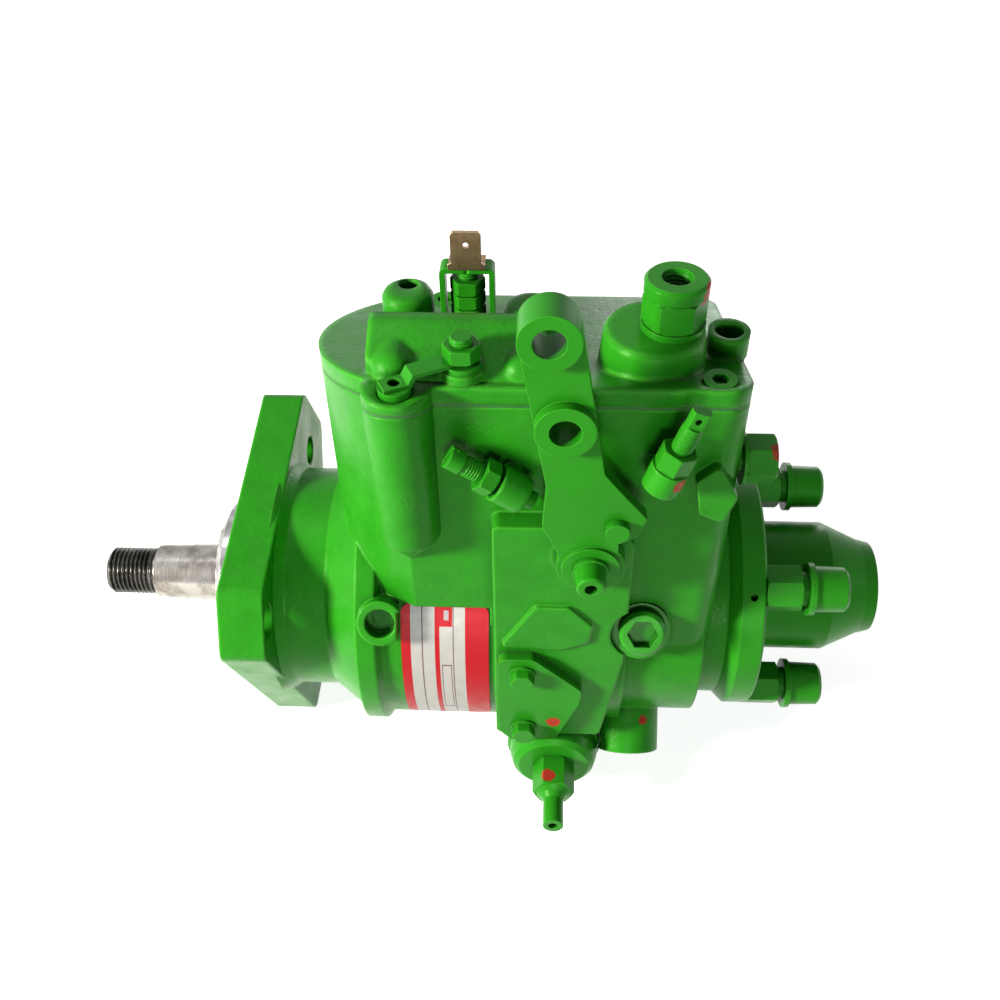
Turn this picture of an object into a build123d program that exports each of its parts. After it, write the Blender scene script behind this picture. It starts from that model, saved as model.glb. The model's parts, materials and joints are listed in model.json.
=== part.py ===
from build123d import *
from math import asin, atan, cos, degrees, radians, sin, sqrt, tan
import os

os.makedirs("parts", exist_ok=True)

# The pump lies with its drive shaft along X. The origin is on the shaft's axis at the flange's mounting face,
# the hydraulic head is towards +X, the governor cover is up and the throttle lever is on the -Y side.

# Fits
running_gap = 0.04
air_gap = 0.4

# Drive end
thread_r = 7.95
thread_length = 17
taper_small_r = 9.2
taper_length = 24.7
journal_r = 10
pilot_r = 25
pilot_length = 9
flange_thickness = 14
hole_circle_r = 45
flange_hole_r = 5.25

# Housing, by places along the shaft and radii about it
neck_r = 37
neck_end = 30
body_start = 41
body_r = 45.5
foot_r = 48
foot_width = 6
block_start = 84
seam = 124
ring_r = 42.5
ring_end = 148
throat_r = 36.5
housing_end = 156
cavity_r = 38.5
cavity_start = 34
cam_bore_r = 32
cam_start = 94
cam_width = 18
head_bore_r = 34
bush_r = 13.5
seal_bore_r = 15
bush_length = 20

# Governor chamber and its sloping joint face
chamber_left = 34
chamber_shoulder = 60
chamber_right = 150
chamber_half = 40
chamber_wall = 5.5
joint_near_z = 106
joint_far_z = 82
gasket_thickness = 0.8
cover_thickness = 5.5
rail_height = 19
rail_front_y = -38
rail_top_y = -22
rail_start = 52
rail_end = 98
cover_roof = 3

# Side block under the throttle lever
block_proud = 1
block_top = 70
block_bottom = -24
throttle_x = 111
throttle_z = 60
throttle_r = 5
lever_boss_r = 9.4
lever_thickness = 4
lever_reach = 76
lever_lean = 9.5
lever_half = 7.6
lever_foot_half = 9.75
lever_second = 50
lever_eye_height = 3
lever_eye_back = 3
lever_hole_r = 4
throttle_finger = 12
finger_y = 17

# Advance unit, across the shaft under the cam ring
advance_x = cam_start + cam_width / 2
advance_z = -40
advance_r = 7.2
advance_boss_r = 14.5
advance_boss_half = 36
advance_travel = 6
advance_piston_length = 26
cam_pin_r = 2.4
cam_pin_ball_r = 3.3

# Governor cover's fittings
rail_boss_xs = (59, 92)
rail_boss_r = 5.9
rail_boss_z = 111.4
rail_boss_tip = -31.5
round_bosses = ((58, 10, 109, 7.7), (93.5, 12, 103, 8.5))
pad_place = (125.5, -20.5)
pad_r = 13.2
pad_top = 117.5
cup_place = (146, -13)
cup_r = 5.6
cup_top = 112
cup_depth = 9
return_place = (130, -19.5)
return_washer_r = 8.4
return_washer_height = 1.8
return_hex = 14.5
return_hex_length = 8
return_collar_r = 8.3
return_collar_length = 4.5
return_bore_r = 4
return_floor = 4
stud_r = 2.7
studs = ((75.5, 8, 90, 118, 3), (76.8, -34, 106, 123.5, 1))
strap_thickness = 1
nut_flats = 8.6
nut_height = 4
nut_step = 4.4
insulator_r = 5.2
insulator_height = 1.6
bracket_half = 7.7
bracket_depth = 5.5
bracket_top = 118.5
spade_height = 11.7
spade_half = 4.2
spade_foot_half = 5.1
coil_x = 78
coil_length = 26
coil_y = 18
coil_z = 76
coil_r = 7
label_start = 55
label_width = 27
label_angles = (-28, 4.5, 37)

# Timing cover on the side block
timing_gasket_thickness = 0.6
timing_cover_thickness = 3

# Distributor rotor, cam and pumping parts
rotor_start = 87
tang_start = 86
tang_width = 5
tang_length = 5
shoe_bottom = 6
blade_thickness = 2
outlet_x = 140
rotor_r = 9.5
rotor_front_r = 15.5
plunger_r = 3.2
roller_r = 3.5
roller_length = 12
cam_base_r = 20.6
cam_lift = 1.8
outlets = 4

# Hydraulic head and its fittings
head_flange_r = 40
head_flange_length = 11
fitting_circle_r = 33.5
fitting_r = 5
fitting_hex = 13
fitting_hex_length = 11
cap_r = 7.25
cap_length = 10.5
end_cap_r = 21.5
end_cap_length = 25
end_cap_cone = 12
inlet_length = 4
inlet_bore_r = 6.6
liner_r = 17
liner_length = 12
liner_offset = 1.5
end_plate_thickness = 2.5
regulator_r = 5
fitting_depth = 9
fitting_neck = 2
seal_one = 118
seal_two = 150

# Governor
sleeve_bore_r = 9
sleeve_flange_r = 18
cage_start = 38
cage_length = 16
cage_r = 31
weights = 4
weight_width = 16
pin_r = 2.5
arm_thickness = 2.6
valve_bottom = 13
valve_top = 50
valve_arm = 10
sleeve_x = 56
sleeve_length = 12
sleeve_travel = 3
arm_pivot_z = 38
arm_reach = 34
valve_x = 128
valve_r = 4

idle_screw_r = 2.5
tap_hole_r = 2.1
screw_r = 2.5
screw_head_r = 4.3


def radial(rho, angle):
    """(y, z) of a point on a ray that starts on the near side and turns upwards by the angle."""
    return -rho * cos(radians(angle)), rho * sin(radians(angle))


def radial_plane(x, rho, angle):
    """A plane whose normal runs outwards along such a ray, with its own X along the shaft."""
    y, z = radial(rho, angle)
    return Plane(origin=(x, y, z), x_dir=(1, 0, 0), z_dir=(0, -cos(radians(angle)), sin(radians(angle))))


def near(x, y, z):
    """A plane that faces the near side, with its own X along the shaft and its own Y upwards."""
    return Plane(origin=(x, y, z), x_dir=(1, 0, 0), z_dir=(0, -1, 0))


def along(x, y, z):
    """A plane that faces the hydraulic head."""
    return Plane(origin=(x, y, z), x_dir=(0, 1, 0), z_dir=(1, 0, 0))


def upright(x, y, z):
    """A level plane."""
    return Plane(origin=(x, y, z), x_dir=(1, 0, 0), z_dir=(0, 0, 1))


def spun_about(plane):
    """The plane that holds another one's normal as its own X, for profiles turned about that normal."""
    return Plane(origin=plane.origin, x_dir=plane.z_dir, z_dir=plane.x_dir)


def turn(plane, profile, mode=Mode.ADD):
    """Turns a profile of (height above the plane, radius) points about the plane's normal."""
    base = spun_about(plane)
    with BuildSketch(base) as half:
        with BuildLine():
            Polyline(*profile, close=True)
        make_face()
    revolve(half.sketch, axis=Axis(base.origin, base.x_dir), mode=mode)


def rod(plane, radius, length, mode=Mode.ADD):
    """A round bar that stands on a plane."""
    with BuildSketch(plane) as disc:
        Circle(radius)
    extrude(disc.sketch, amount=length, mode=mode)


def hexagon(plane, across_flats, length, bore=0.0, mode=Mode.ADD):
    """A hexagonal bar that stands on a plane, with its corners turned off and an optional bore."""
    corner_r = across_flats / sqrt(3)
    corner = corner_r - across_flats / 2
    with BuildPart(mode=Mode.PRIVATE) as bar:
        with BuildSketch(plane) as section:
            RegularPolygon(across_flats / 2, 6, major_radius=False)
            if bore > 0:
                Circle(bore, mode=Mode.SUBTRACT)
        extrude(section.sketch, amount=length)
        turn(
            plane,
            (
                (0, 0),
                (0, corner_r - 0.8 * corner),
                (0.5 * corner, corner_r + 0.02),
                (length - 0.5 * corner, corner_r + 0.02),
                (length, corner_r - 0.8 * corner),
                (length, 0),
            ),
            Mode.INTERSECT,
        )
    add(bar.part, mode=mode)


def bullet(plane, radius, length):
    """A round bar with a ball end that stands on a plane."""
    base = spun_about(plane)
    with BuildSketch(base) as half:
        with BuildLine():
            Polyline((0, 0), (0, radius), (length, radius))
            slant = radius / sqrt(2)
            ThreePointArc((length, radius), (length + slant, slant), (length + radius, 0))
            Line((length + radius, 0), (0, 0))
        make_face()
    revolve(half.sketch, axis=Axis(base.origin, base.x_dir))


def tube(plane, outer, inner, length, mode=Mode.ADD):
    """A round tube that stands on a plane."""
    with BuildSketch(plane) as ring:
        Circle(outer)
        Circle(inner, mode=Mode.SUBTRACT)
    extrude(ring.sketch, amount=length, mode=mode)


def slab(plane, corners, length, corner_r=0.0, mode=Mode.ADD):
    """A straight-sided plate whose outline is a list of corners, with equal rounding at each."""
    with BuildSketch(plane) as outline:
        with BuildLine():
            Polyline(*corners, close=True)
        make_face()
        if corner_r > 0:
            fillet(outline.vertices(), corner_r)
    extrude(outline.sketch, amount=length, mode=mode)


def chamber(inset, bottom, height, mode=Mode.ADD):
    """The governor chamber's plan, rounded at the drive end, as an upright block."""
    half = chamber_half - inset
    right = chamber_right - inset
    with BuildSketch(Plane.XY.offset(bottom)) as plan:
        with BuildLine():
            ThreePointArc((chamber_shoulder, half), (chamber_left + inset, 0), (chamber_shoulder, -half))
            Polyline((chamber_shoulder, -half), (right, -half), (right, half), (chamber_shoulder, half))
        make_face()
        right_corners = plan.vertices().group_by(Axis.X)[-1]
        fillet(right_corners, max(7 - inset, 1.5))
    extrude(plan.sketch, amount=height, mode=mode)


joint_slope = (joint_far_z - joint_near_z) / (2 * chamber_half)


def joint_z(y):
    """Height of the housing's joint face at a place across the pump."""
    return joint_near_z + joint_slope * (y + chamber_half)


def wedge(low, high, start, end, mode):
    """A block between two sloping faces that lie low and high above the joint face."""
    reach = chamber_half + 20
    with BuildSketch(Plane.YZ.offset(start)) as side:
        with BuildLine():
            Polyline(
                (-reach, joint_z(-reach) + low),
                (reach, joint_z(reach) + low),
                (reach, joint_z(reach) + high),
                (-reach, joint_z(-reach) + high),
                close=True,
            )
        make_face()
    extrude(side.sketch, amount=end - start, mode=mode)


lobe_angles = (148, 28, -92)
lobe_reaches = (61, 51, 60)
lobe_half_widths = (16, 10.5, 15)


def flange_corners():
    """The six corners of the mounting flange, two at the end of each of its three lobes."""
    corners = []
    for angle, reach, half in zip(lobe_angles, lobe_reaches, lobe_half_widths):
        for side in (-1, 1):
            y = -reach * cos(radians(angle)) - side * half * sin(radians(angle))
            z = reach * sin(radians(angle)) - side * half * cos(radians(angle))
            corners.append((y, z))
    return corners


# Places worked out from the sizes above
cover_low = gasket_thickness
cover_high = gasket_thickness + cover_thickness
block_front = body_r + block_proud
lever_back = block_front + air_gap + 0.2
lever_front = lever_back + lever_thickness
arm_face = sleeve_x + sleeve_length + air_gap
arm_x = arm_face + arm_thickness / 2
link_z = arm_pivot_z + arm_reach
head_start = cam_start + cam_width + 2
cam_centre = cam_start + cam_width / 2
head_face = housing_end + head_flange_length
rotor_end = head_face + liner_length - end_plate_thickness - 0.3
fitting_disc_x = head_face + fitting_hex_length + fitting_neck
fitting_angles = tuple(45 + 360 / outlets * n for n in range(outlets))
screw_places = ((60.5, -42), (66, 32.5), (141.5, 34.5), (141.5, -34))
pillar_r = 9
pillar_x = 60.5
pillar_y = -39.5
pillar_fade = 50
side_boss_x = 49.5
side_boss_angle = 31
side_boss_r = 7
side_boss_face = 52
lock_x = 128
lock_angles = (30, 150)
lock_pad = ring_r + 6
side_plug_angle = -47
idle_foot = (88, -46, 84.5)
idle_lean = -34.5
idle_direction = (cos(radians(idle_lean)), 0, sin(radians(idle_lean)))
high_idle_foot = (127.5, -48.5, 88)
high_idle_lean = 108
high_idle_direction = (-cos(radians(high_idle_lean)), 0, sin(radians(high_idle_lean)))
timing_corners = ((85, 18), (96, 18), (111, 3), (110, -4), (103, -22), (89, -23), (85, -18))
timing_screws = ((92.5, 11), (93, -16))
timing_face = block_front
pad_corners = ((85.5, 21), (96, 39), (106, 39), (113, 31), (112, 24), (104, 20))
rear_plug = (-30, 82)


def idle_plane(distance):
    """A plane across the low idle screw, a distance along it from the middle of its boss."""
    x, y, z = idle_foot
    dx, dy, dz = idle_direction
    return Plane(
        origin=(x + dx * distance, y + dy * distance, z + dz * distance), x_dir=(0, 1, 0), z_dir=idle_direction
    )


def high_idle_plane(distance):
    """A plane across the high idle screw, a distance up from its foot."""
    x, y, z = high_idle_foot
    dx, dy, dz = high_idle_direction
    return Plane(
        origin=(x + dx * distance, y + dy * distance, z + dz * distance),
        x_dir=(0, 1, 0),
        z_dir=high_idle_direction,
    )


with BuildPart() as pump_housing:
    slab(Plane.YZ, flange_corners(), flange_thickness, 5)
    turn(
        along(0, 0, 0),
        (
            (flange_thickness - 2, 0),
            (flange_thickness - 2, neck_r + 3),
            (flange_thickness + 3, neck_r),
            (neck_end, neck_r),
            (body_start, body_r),
            (body_start, foot_r),
            (body_start + foot_width, foot_r),
            (body_start + foot_width + 2, body_r),
            (seam, body_r),
            (seam, ring_r),
            (ring_end, ring_r),
            (ring_end + 1, throat_r),
            (housing_end, throat_r),
            (housing_end, 0),
        ),
    )
    chamber(0, 0, joint_near_z + 20)
    # Screw pillar at the near left corner, which fades into the wall, and the plugged boss below it
    pillar_height = joint_near_z + 20 - pillar_fade
    turn(
        upright(pillar_x, pillar_y, pillar_fade),
        ((0, 0), (12, pillar_r), (pillar_height, pillar_r), (pillar_height, 0)),
    )
    rod(radial_plane(side_boss_x, neck_r, side_boss_angle), side_boss_r, side_boss_face - neck_r)
    # Side block with the raised pad and the throttle boss
    slab(
        near(0, 0, 0),
        (
            (block_start, block_bottom),
            (block_start, block_top),
            (seam - 6, block_top),
            (seam - 1, block_top - 6),
            (seam - 1, 14),
            (advance_x + advance_boss_r, block_bottom),
        ),
        block_front,
        2,
    )
    slab(near(0, -block_front, 0), pad_corners, 1.2, 1.5)
    rod(near(throttle_x, -block_front, throttle_z), lever_boss_r + 1.5, 0.2)
    # Advance bore's boss across the bottom
    rod(near(advance_x, advance_boss_half, advance_z), advance_boss_r, 2 * advance_boss_half)
    slab(
        near(0, advance_boss_half - 6, 0),
        (
            (advance_x - advance_boss_r, advance_z),
            (advance_x - advance_boss_r, 0),
            (advance_x + advance_boss_r, 0),
            (advance_x + advance_boss_r, advance_z),
        ),
        2 * advance_boss_half - 12,
    )
    # Radial boss of the side plug, pads of the head locking plugs, and the rear lug
    rod(radial_plane(lock_x, ring_r - 12, side_plug_angle), 10.5, 26.5)
    for lock_angle in lock_angles:
        rod(radial_plane(lock_x, ring_r - 10, lock_angle), 9.5, lock_pad - ring_r + 10)
    slab(
        near(0, -chamber_half + 8, 0),
        ((137.5, 85), (143, 90.5), (149, 80), (146, 71), (139.5, 74)),
        12,
        1.5,
    )
    # Bosses of the idle screws, each with its web down to the wall
    rod(idle_plane(-3), 5.2, 8)
    idle_x, idle_y, idle_z = idle_foot
    slab(
        near(0, -chamber_half + 1, 0),
        ((idle_x - 2, idle_z - 4), (idle_x - 1, idle_z + 4), (idle_x + 4, idle_z + 2), (idle_x + 6, idle_z - 5)),
        -idle_y - chamber_half + 1,
        2,
    )
    rod(high_idle_plane(0), 5, 7)
    high_x, high_y, high_z = tuple(high_idle_plane(3.5).origin)
    slab(
        near(0, -chamber_half + 1, 0),
        ((high_x - 4, high_z - 6), (high_x - 4, high_z), (high_x + 5, high_z), (high_x + 5, high_z - 6)),
        -high_y - chamber_half + 1,
        1.5,
    )
    # Recess of the label plate and spot face of the advance trimmer
    with BuildPart(mode=Mode.PRIVATE) as label_recess:
        tube(along(label_start - 0.5, 0, 0), body_r + 8, body_r, label_width + 1)
        slab(Plane.YZ, ((0, -60), (60, -60), (60, 60), (0, 60)), chamber_right, 0, Mode.SUBTRACT)
        label_ledge = radial(body_r, label_angles[-1] + 4)[1]
        slab(Plane.YZ, ((-60, label_ledge), (0, label_ledge), (0, 60), (-60, 60)), chamber_right, 0, Mode.SUBTRACT)
    add(label_recess.part, mode=Mode.SUBTRACT)
    rod(near(advance_x, -advance_boss_half, advance_z), advance_boss_r + 2, 5, Mode.SUBTRACT)
    # Spot faces of the head's lock screws
    for lock_angle in lock_angles:
        rod(radial_plane(lock_x, lock_pad, lock_angle), 9.6, 16, Mode.SUBTRACT)
    # The sloping joint face
    wedge(0, 60, chamber_left - 20, chamber_right + 20, Mode.SUBTRACT)
    # Bores along the shaft
    turn(
        along(0, 0, 0),
        (
            (-1, 0),
            (-1, pilot_r - 4),
            (flange_thickness, pilot_r - 4),
            (flange_thickness, bush_r),
            (cavity_start, bush_r),
            (cavity_start, cavity_r - 6),
            (cavity_start + 6, cavity_r),
            (cam_start - 4, cavity_r),
            (cam_start - 4, cam_bore_r),
            (head_start - 2, cam_bore_r),
            (head_start, head_bore_r),
            (housing_end + 1, head_bore_r),
            (housing_end + 1, 0),
        ),
        Mode.SUBTRACT,
    )
    # Inside of the governor chamber, deep over the weights and shallow over the head
    with BuildPart(mode=Mode.PRIVATE) as chamber_hollow:
        chamber(chamber_wall, head_bore_r + 5, joint_near_z)
    add(chamber_hollow.part, mode=Mode.SUBTRACT)
    with BuildPart(mode=Mode.PRIVATE) as weight_hollow:
        chamber(chamber_wall + 2, 4, head_bore_r + 10)
        with BuildSketch(Plane.YZ.offset(cam_start - 8)) as beyond:
            Rectangle(200, 200)
        extrude(beyond.sketch, amount=200, mode=Mode.SUBTRACT)
    add(weight_hollow.part, mode=Mode.SUBTRACT)
    rod(upright(valve_x, 0, head_bore_r - 4), valve_r + 2.5, 12, Mode.SUBTRACT)
    # Advance bore and the slot for the cam pin
    rod(near(advance_x, advance_boss_half + 1, advance_z), advance_r + running_gap, 2 * advance_boss_half + 2,
        Mode.SUBTRACT)
    slab(
        upright(advance_x, 0, advance_z),
        ((-4.2, -6), (4.2, -6), (4.2, 6 + advance_travel), (-4.2, 6 + advance_travel)),
        -advance_z - cam_bore_r + 4,
        2,
        Mode.SUBTRACT,
    )
    # Throttle shaft's bore and blind bearing
    rod(near(throttle_x, chamber_half - 2, throttle_z), throttle_r + running_gap, 2 * block_front, Mode.SUBTRACT)
    # Governor arm's pivot pin
    rod(near(arm_x, chamber_half - 2, arm_pivot_z), pin_r + running_gap, 2 * chamber_half - 4, Mode.SUBTRACT)
    # Flange holes and the tapped holes
    for lobe_angle in lobe_angles:
        y, z = radial(hole_circle_r, lobe_angle)
        rod(along(-1, y, z), flange_hole_r, flange_thickness + 2, Mode.SUBTRACT)
    for x, y in screw_places:
        rod(upright(x, y, joint_z(y) - 14), screw_r, 20, Mode.SUBTRACT)
    for x, z in timing_screws:
        rod(near(x, -timing_face + 10, z), tap_hole_r, 14, Mode.SUBTRACT)
    for lock_angle in lock_angles:
        rod(radial_plane(lock_x, head_bore_r - 4, lock_angle), 5 + running_gap, 30, Mode.SUBTRACT)
    rod(radial_plane(lock_x, head_bore_r - 4, side_plug_angle), 6 + running_gap, 40, Mode.SUBTRACT)
    rod(idle_plane(-20), idle_screw_r + running_gap, 40, Mode.SUBTRACT)
    rod(high_idle_plane(-2), idle_screw_r + running_gap, 30, Mode.SUBTRACT)
    rod(along(chamber_right - 3, *rear_plug), 3.5, 12, Mode.SUBTRACT)
    rod(radial_plane(side_boss_x, side_boss_face - 5, side_boss_angle), side_boss_r - 2.4, 10, Mode.SUBTRACT)

with BuildPart() as pilot_tube:
    turn(
        along(0, 0, 0),
        (
            (-pilot_length, journal_r + 1.5),
            (-pilot_length, pilot_r - 2),
            (-pilot_length + 2, pilot_r),
            (0, pilot_r),
            (0, pilot_r - 4 - running_gap / 2),
            (flange_thickness, pilot_r - 4 - running_gap / 2),
            (flange_thickness, seal_bore_r),
            (-pilot_length + 3, seal_bore_r),
            (-pilot_length + 3, journal_r + 1.5),
        ),
    )

with BuildPart() as shaft_bush:
    tube(along(flange_thickness, 0, 0), bush_r - running_gap / 2, journal_r + running_gap, bush_length)

with BuildPart() as shaft_seals:
    for seal_x in (-pilot_length + 4, 4):
        turn(
            along(seal_x, 0, 0),
            (
                (0, seal_bore_r - running_gap / 2),
                (0, seal_bore_r - 1.2),
                (2.2, journal_r + running_gap),
                (3.4, journal_r + running_gap),
                (5.5, seal_bore_r - 2),
                (7, seal_bore_r - 2),
                (7, seal_bore_r - running_gap / 2),
            ),
        )

taper_start = -pilot_length - 1 - taper_length
nose = taper_start - thread_length
with BuildPart() as drive_shaft:
    turn(
        along(0, 0, 0),
        (
            (nose, 0),
            (nose, thread_r - 1),
            (nose + 1, thread_r),
            (taper_start - 1.5, thread_r),
            (taper_start - 1.5, thread_r - 0.8),
            (taper_start, thread_r - 0.8),
            (taper_start, taper_small_r),
            (taper_start + taper_length, journal_r),
            (cavity_start, journal_r),
            (cavity_start, sleeve_bore_r),
            (tang_start, sleeve_bore_r),
            (tang_start, 0),
        ),
    )
    with BuildSketch(along(tang_start, 0, 0)):
        Rectangle(tang_width, 2 * sleeve_bore_r - 2)
    extrude(amount=tang_length)
    rod(along(nose - 1, 0, 0), 1.5, 5, Mode.SUBTRACT)

with BuildPart() as weight_cage:
    tube(along(cage_start, 0, 0), cage_r, sleeve_bore_r + running_gap / 2, 3)
    tube(along(cage_start, 0, 0), sleeve_bore_r + 4, sleeve_bore_r + running_gap / 2, cage_length - 3)
    tube(along(cage_start, 0, 0), cage_r, cage_r - 3, cage_length)
    with BuildSketch(along(cage_start + 3, 0, 0)) as windows:
        with PolarLocations(cage_r, weights):
            Rectangle(12, weight_width + 2)
    extrude(windows.sketch, amount=cage_length, mode=Mode.SUBTRACT)

with BuildPart() as governor_weights:
    with BuildSketch(along(cage_start + 3 + air_gap, 0, 0)) as weight_sections:
        with PolarLocations((cage_r + sleeve_bore_r + 4) / 2, weights):
            RectangleRounded(cage_r - sleeve_bore_r - 6, weight_width, 2)
    extrude(weight_sections.sketch, amount=cage_length - 4)

with BuildPart() as thrust_sleeve:
    turn(
        along(sleeve_x, 0, 0),
        (
            (0, sleeve_bore_r + running_gap),
            (0, sleeve_bore_r + 5),
            (sleeve_length - 3, sleeve_bore_r + 5),
            (sleeve_length - 3, sleeve_flange_r),
            (sleeve_length, sleeve_flange_r),
            (sleeve_length, sleeve_bore_r + running_gap),
        ),
    )

with BuildPart() as governor_arm:
    with BuildSketch(along(arm_face, 0, 0)) as arm_outline:
        with BuildLine():
            Polyline(
                (-16.5, -6),
                (-12.5, -6),
                (-12.5, 22),
                (12.5, 22),
                (12.5, -6),
                (16.5, -6),
                (16.5, arm_pivot_z + 6),
                (5, arm_pivot_z + 18),
                (5, arm_pivot_z + arm_reach + 3),
                (-5, arm_pivot_z + arm_reach + 3),
                (-5, arm_pivot_z + 18),
                (-16.5, arm_pivot_z + 6),
                close=True,
            )
        make_face()
        fillet(arm_outline.vertices().group_by(Axis.Y)[-1], 2)
    extrude(arm_outline.sketch, amount=arm_thickness)
    arm_eye = near(arm_x, 16.5, arm_pivot_z)
    rod(arm_eye, 4.5, 33)
    rod(arm_eye, pin_r + running_gap, 33, Mode.SUBTRACT)
    # The window in the arm's head leaves its cross pin standing between two cheeks
    with BuildSketch(along(arm_face, 0, link_z)) as window:
        Rectangle(5.5, 9)
    extrude(window.sketch, amount=arm_thickness, mode=Mode.SUBTRACT)
    rod(near(arm_x, 4, link_z), 1.1, 8)

with BuildPart() as arm_pin:
    rod(near(arm_x, chamber_half - 2.2, arm_pivot_z), pin_r, 2 * chamber_half - 4.4)

with BuildPart() as governor_link:
    with BuildSketch(near(0, 1, 0)) as bar:
        with BuildLine():
            Polyline(
                (arm_x - 4, link_z - 3.5),
                (arm_x - 4, link_z + 3.5),
                (valve_x + 5, link_z + 3.5),
                (valve_x + 5, link_z + 2),
                (arm_x + 10, link_z + 2),
                (arm_x + 4, link_z - 3.5),
                close=True,
            )
        make_face()
        with Locations((arm_x, link_z)):
            Circle(1.1 + air_gap, mode=Mode.SUBTRACT)
    extrude(bar.sketch, amount=2)
    with BuildSketch(upright(valve_x, 0, link_z + 2)) as eye:
        with Locations((0, -valve_arm / 2 - 1)):
            RectangleRounded(8, valve_arm + 8, 2)
        with Locations((0, -valve_arm + 0.4)):
            SlotOverall(6, 2 * (1.2 + air_gap + 0.2), rotation=90, mode=Mode.SUBTRACT)
    extrude(eye.sketch, amount=1.5)

with BuildPart() as metering_valve:
    turn(
        upright(valve_x, 0, 0),
        (
            (valve_bottom, 0),
            (valve_bottom, valve_r),
            (valve_bottom + 6, valve_r),
            (valve_bottom + 6, valve_r - 0.8),
            (valve_bottom + 8, valve_r - 0.8),
            (valve_bottom + 8, valve_r),
            (valve_top, valve_r),
            (valve_top, 0),
        ),
    )
    with BuildSketch(upright(valve_x, 0, valve_top)) as crank:
        with Locations((0, -valve_arm / 2)):
            SlotOverall(valve_arm + 7, 7, rotation=90)
    extrude(crank.sketch, amount=2)
    rod(upright(valve_x, -valve_arm, valve_top), 1.2, link_z + 4 - valve_top)

spring_z = throttle_z - throttle_finger
with BuildPart() as governor_spring:
    spring_start = arm_face + arm_thickness + 0.1
    spring_end = throttle_x - 3.2
    with BuildLine() as coil:
        Helix(
            pitch=(spring_end - spring_start - 1.4) / 8,
            height=spring_end - spring_start - 1.4,
            radius=3.6,
            center=(spring_start + 0.7, finger_y, spring_z),
            direction=(1, 0, 0),
        )
    with BuildSketch(Plane(origin=coil.line @ 0, z_dir=coil.line % 0)) as wire:
        Circle(0.6)
    sweep(wire.sketch, path=coil.line, is_frenet=True)

with BuildPart() as distributor_rotor:
    turn(
        along(0, 0, 0),
        (
            (rotor_start, 0),
            (rotor_start, rotor_front_r - 1),
            (rotor_start + 1, rotor_front_r),
            (cam_start + cam_width + 0.4, rotor_front_r),
            (cam_start + cam_width + 0.4, rotor_r),
            (rotor_end, rotor_r),
            (rotor_end, 0),
        ),
    )
    with BuildSketch(along(rotor_start, 0, 0)) as tang_slot:
        Rectangle(tang_width + 0.2, 2 * sleeve_bore_r)
    extrude(tang_slot.sketch, amount=tang_length, mode=Mode.SUBTRACT)
    rod(upright(cam_centre, 0, -rotor_front_r), plunger_r + running_gap, 2 * rotor_front_r, Mode.SUBTRACT)
    for shoe_side in (1, -1):
        with BuildSketch(upright(cam_centre, 0, shoe_side * shoe_bottom)) as shoe_slot:
            Rectangle(roller_length + 0.6, 2 * roller_r + 1.2)
        extrude(shoe_slot.sketch, amount=shoe_side * rotor_front_r, mode=Mode.SUBTRACT)
    for slot_size in ((blade_thickness + 0.1, 2 * rotor_r), (2 * rotor_r, blade_thickness + 0.1)):
        with BuildSketch(along(head_face, 0, 0)) as blade_slot:
            Rectangle(*slot_size)
        extrude(blade_slot.sketch, amount=rotor_end - head_face, mode=Mode.SUBTRACT)
    rod(near(outlet_x, rotor_r + 1, 0), 1, rotor_r + 1, Mode.SUBTRACT)

with BuildPart() as pumping_plungers:
    for side in (1, -1):
        rod(upright(cam_centre, 0, side * 1), plunger_r, side * (shoe_bottom + 0.4))

roller_rho = cam_base_r - cam_lift / 2 - air_gap - roller_r
with BuildPart() as roller_shoes:
    for side in (1, -1):
        with BuildSketch(upright(cam_centre, 0, side * (shoe_bottom + 1.4))) as shoe:
            Rectangle(roller_length, 2 * roller_r + 0.8)
        extrude(shoe.sketch, amount=side * (roller_rho - shoe_bottom - 2.6))
        rod(along(cam_start, 0, side * roller_rho), roller_r + running_gap, cam_width, Mode.SUBTRACT)

with BuildPart() as cam_rollers:
    for side in (1, -1):
        rod(along(cam_centre - roller_length / 2, 0, side * roller_rho), roller_r, roller_length)

with BuildPart() as cam_ring:
    with BuildSketch(along(cam_start, 0, 0)) as cam_section:
        Circle(cam_bore_r - running_gap)
    extrude(cam_section.sketch, amount=cam_width)
    # The track follows a cosine with one lobe for each outlet
    with BuildSketch(along(cam_start, 0, 0)) as track:
        with BuildLine():
            steps = 12 * outlets
            track_points = []
            for step in range(steps):
                turn_angle = 2 * 3.14159265 * step / steps
                track_r = cam_base_r + cam_lift / 2 * cos(outlets * turn_angle + 3.14159265)
                track_points.append((track_r * cos(turn_angle), track_r * sin(turn_angle)))
            Spline(*track_points, periodic=True)
        make_face()
    extrude(track.sketch, amount=cam_width, mode=Mode.SUBTRACT)
    rod(upright(cam_centre, 0, -cam_bore_r - 1), cam_pin_r + running_gap, 9, Mode.SUBTRACT)

with BuildPart() as cam_pin:
    rod(upright(advance_x, 0, -cam_bore_r + 8), cam_pin_r, advance_z + cam_bore_r - 8)
    with Locations((advance_x, 0, advance_z)):
        Sphere(cam_pin_ball_r)

half_piston = advance_piston_length / 2
with BuildPart() as advance_piston:
    rod(near(advance_x, half_piston, advance_z), advance_r, advance_piston_length)
    rod(near(advance_x, half_piston, advance_z), advance_r - 2, half_piston - cam_pin_ball_r - 3, Mode.SUBTRACT)
    with BuildSketch(upright(advance_x, 0, advance_z - cam_pin_ball_r - air_gap)) as pin_slot:
        Rectangle(2 * cam_pin_ball_r + 1.2, 2 * cam_pin_ball_r + 0.7)
    extrude(pin_slot.sketch, amount=advance_r + 8, mode=Mode.SUBTRACT)

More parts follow.
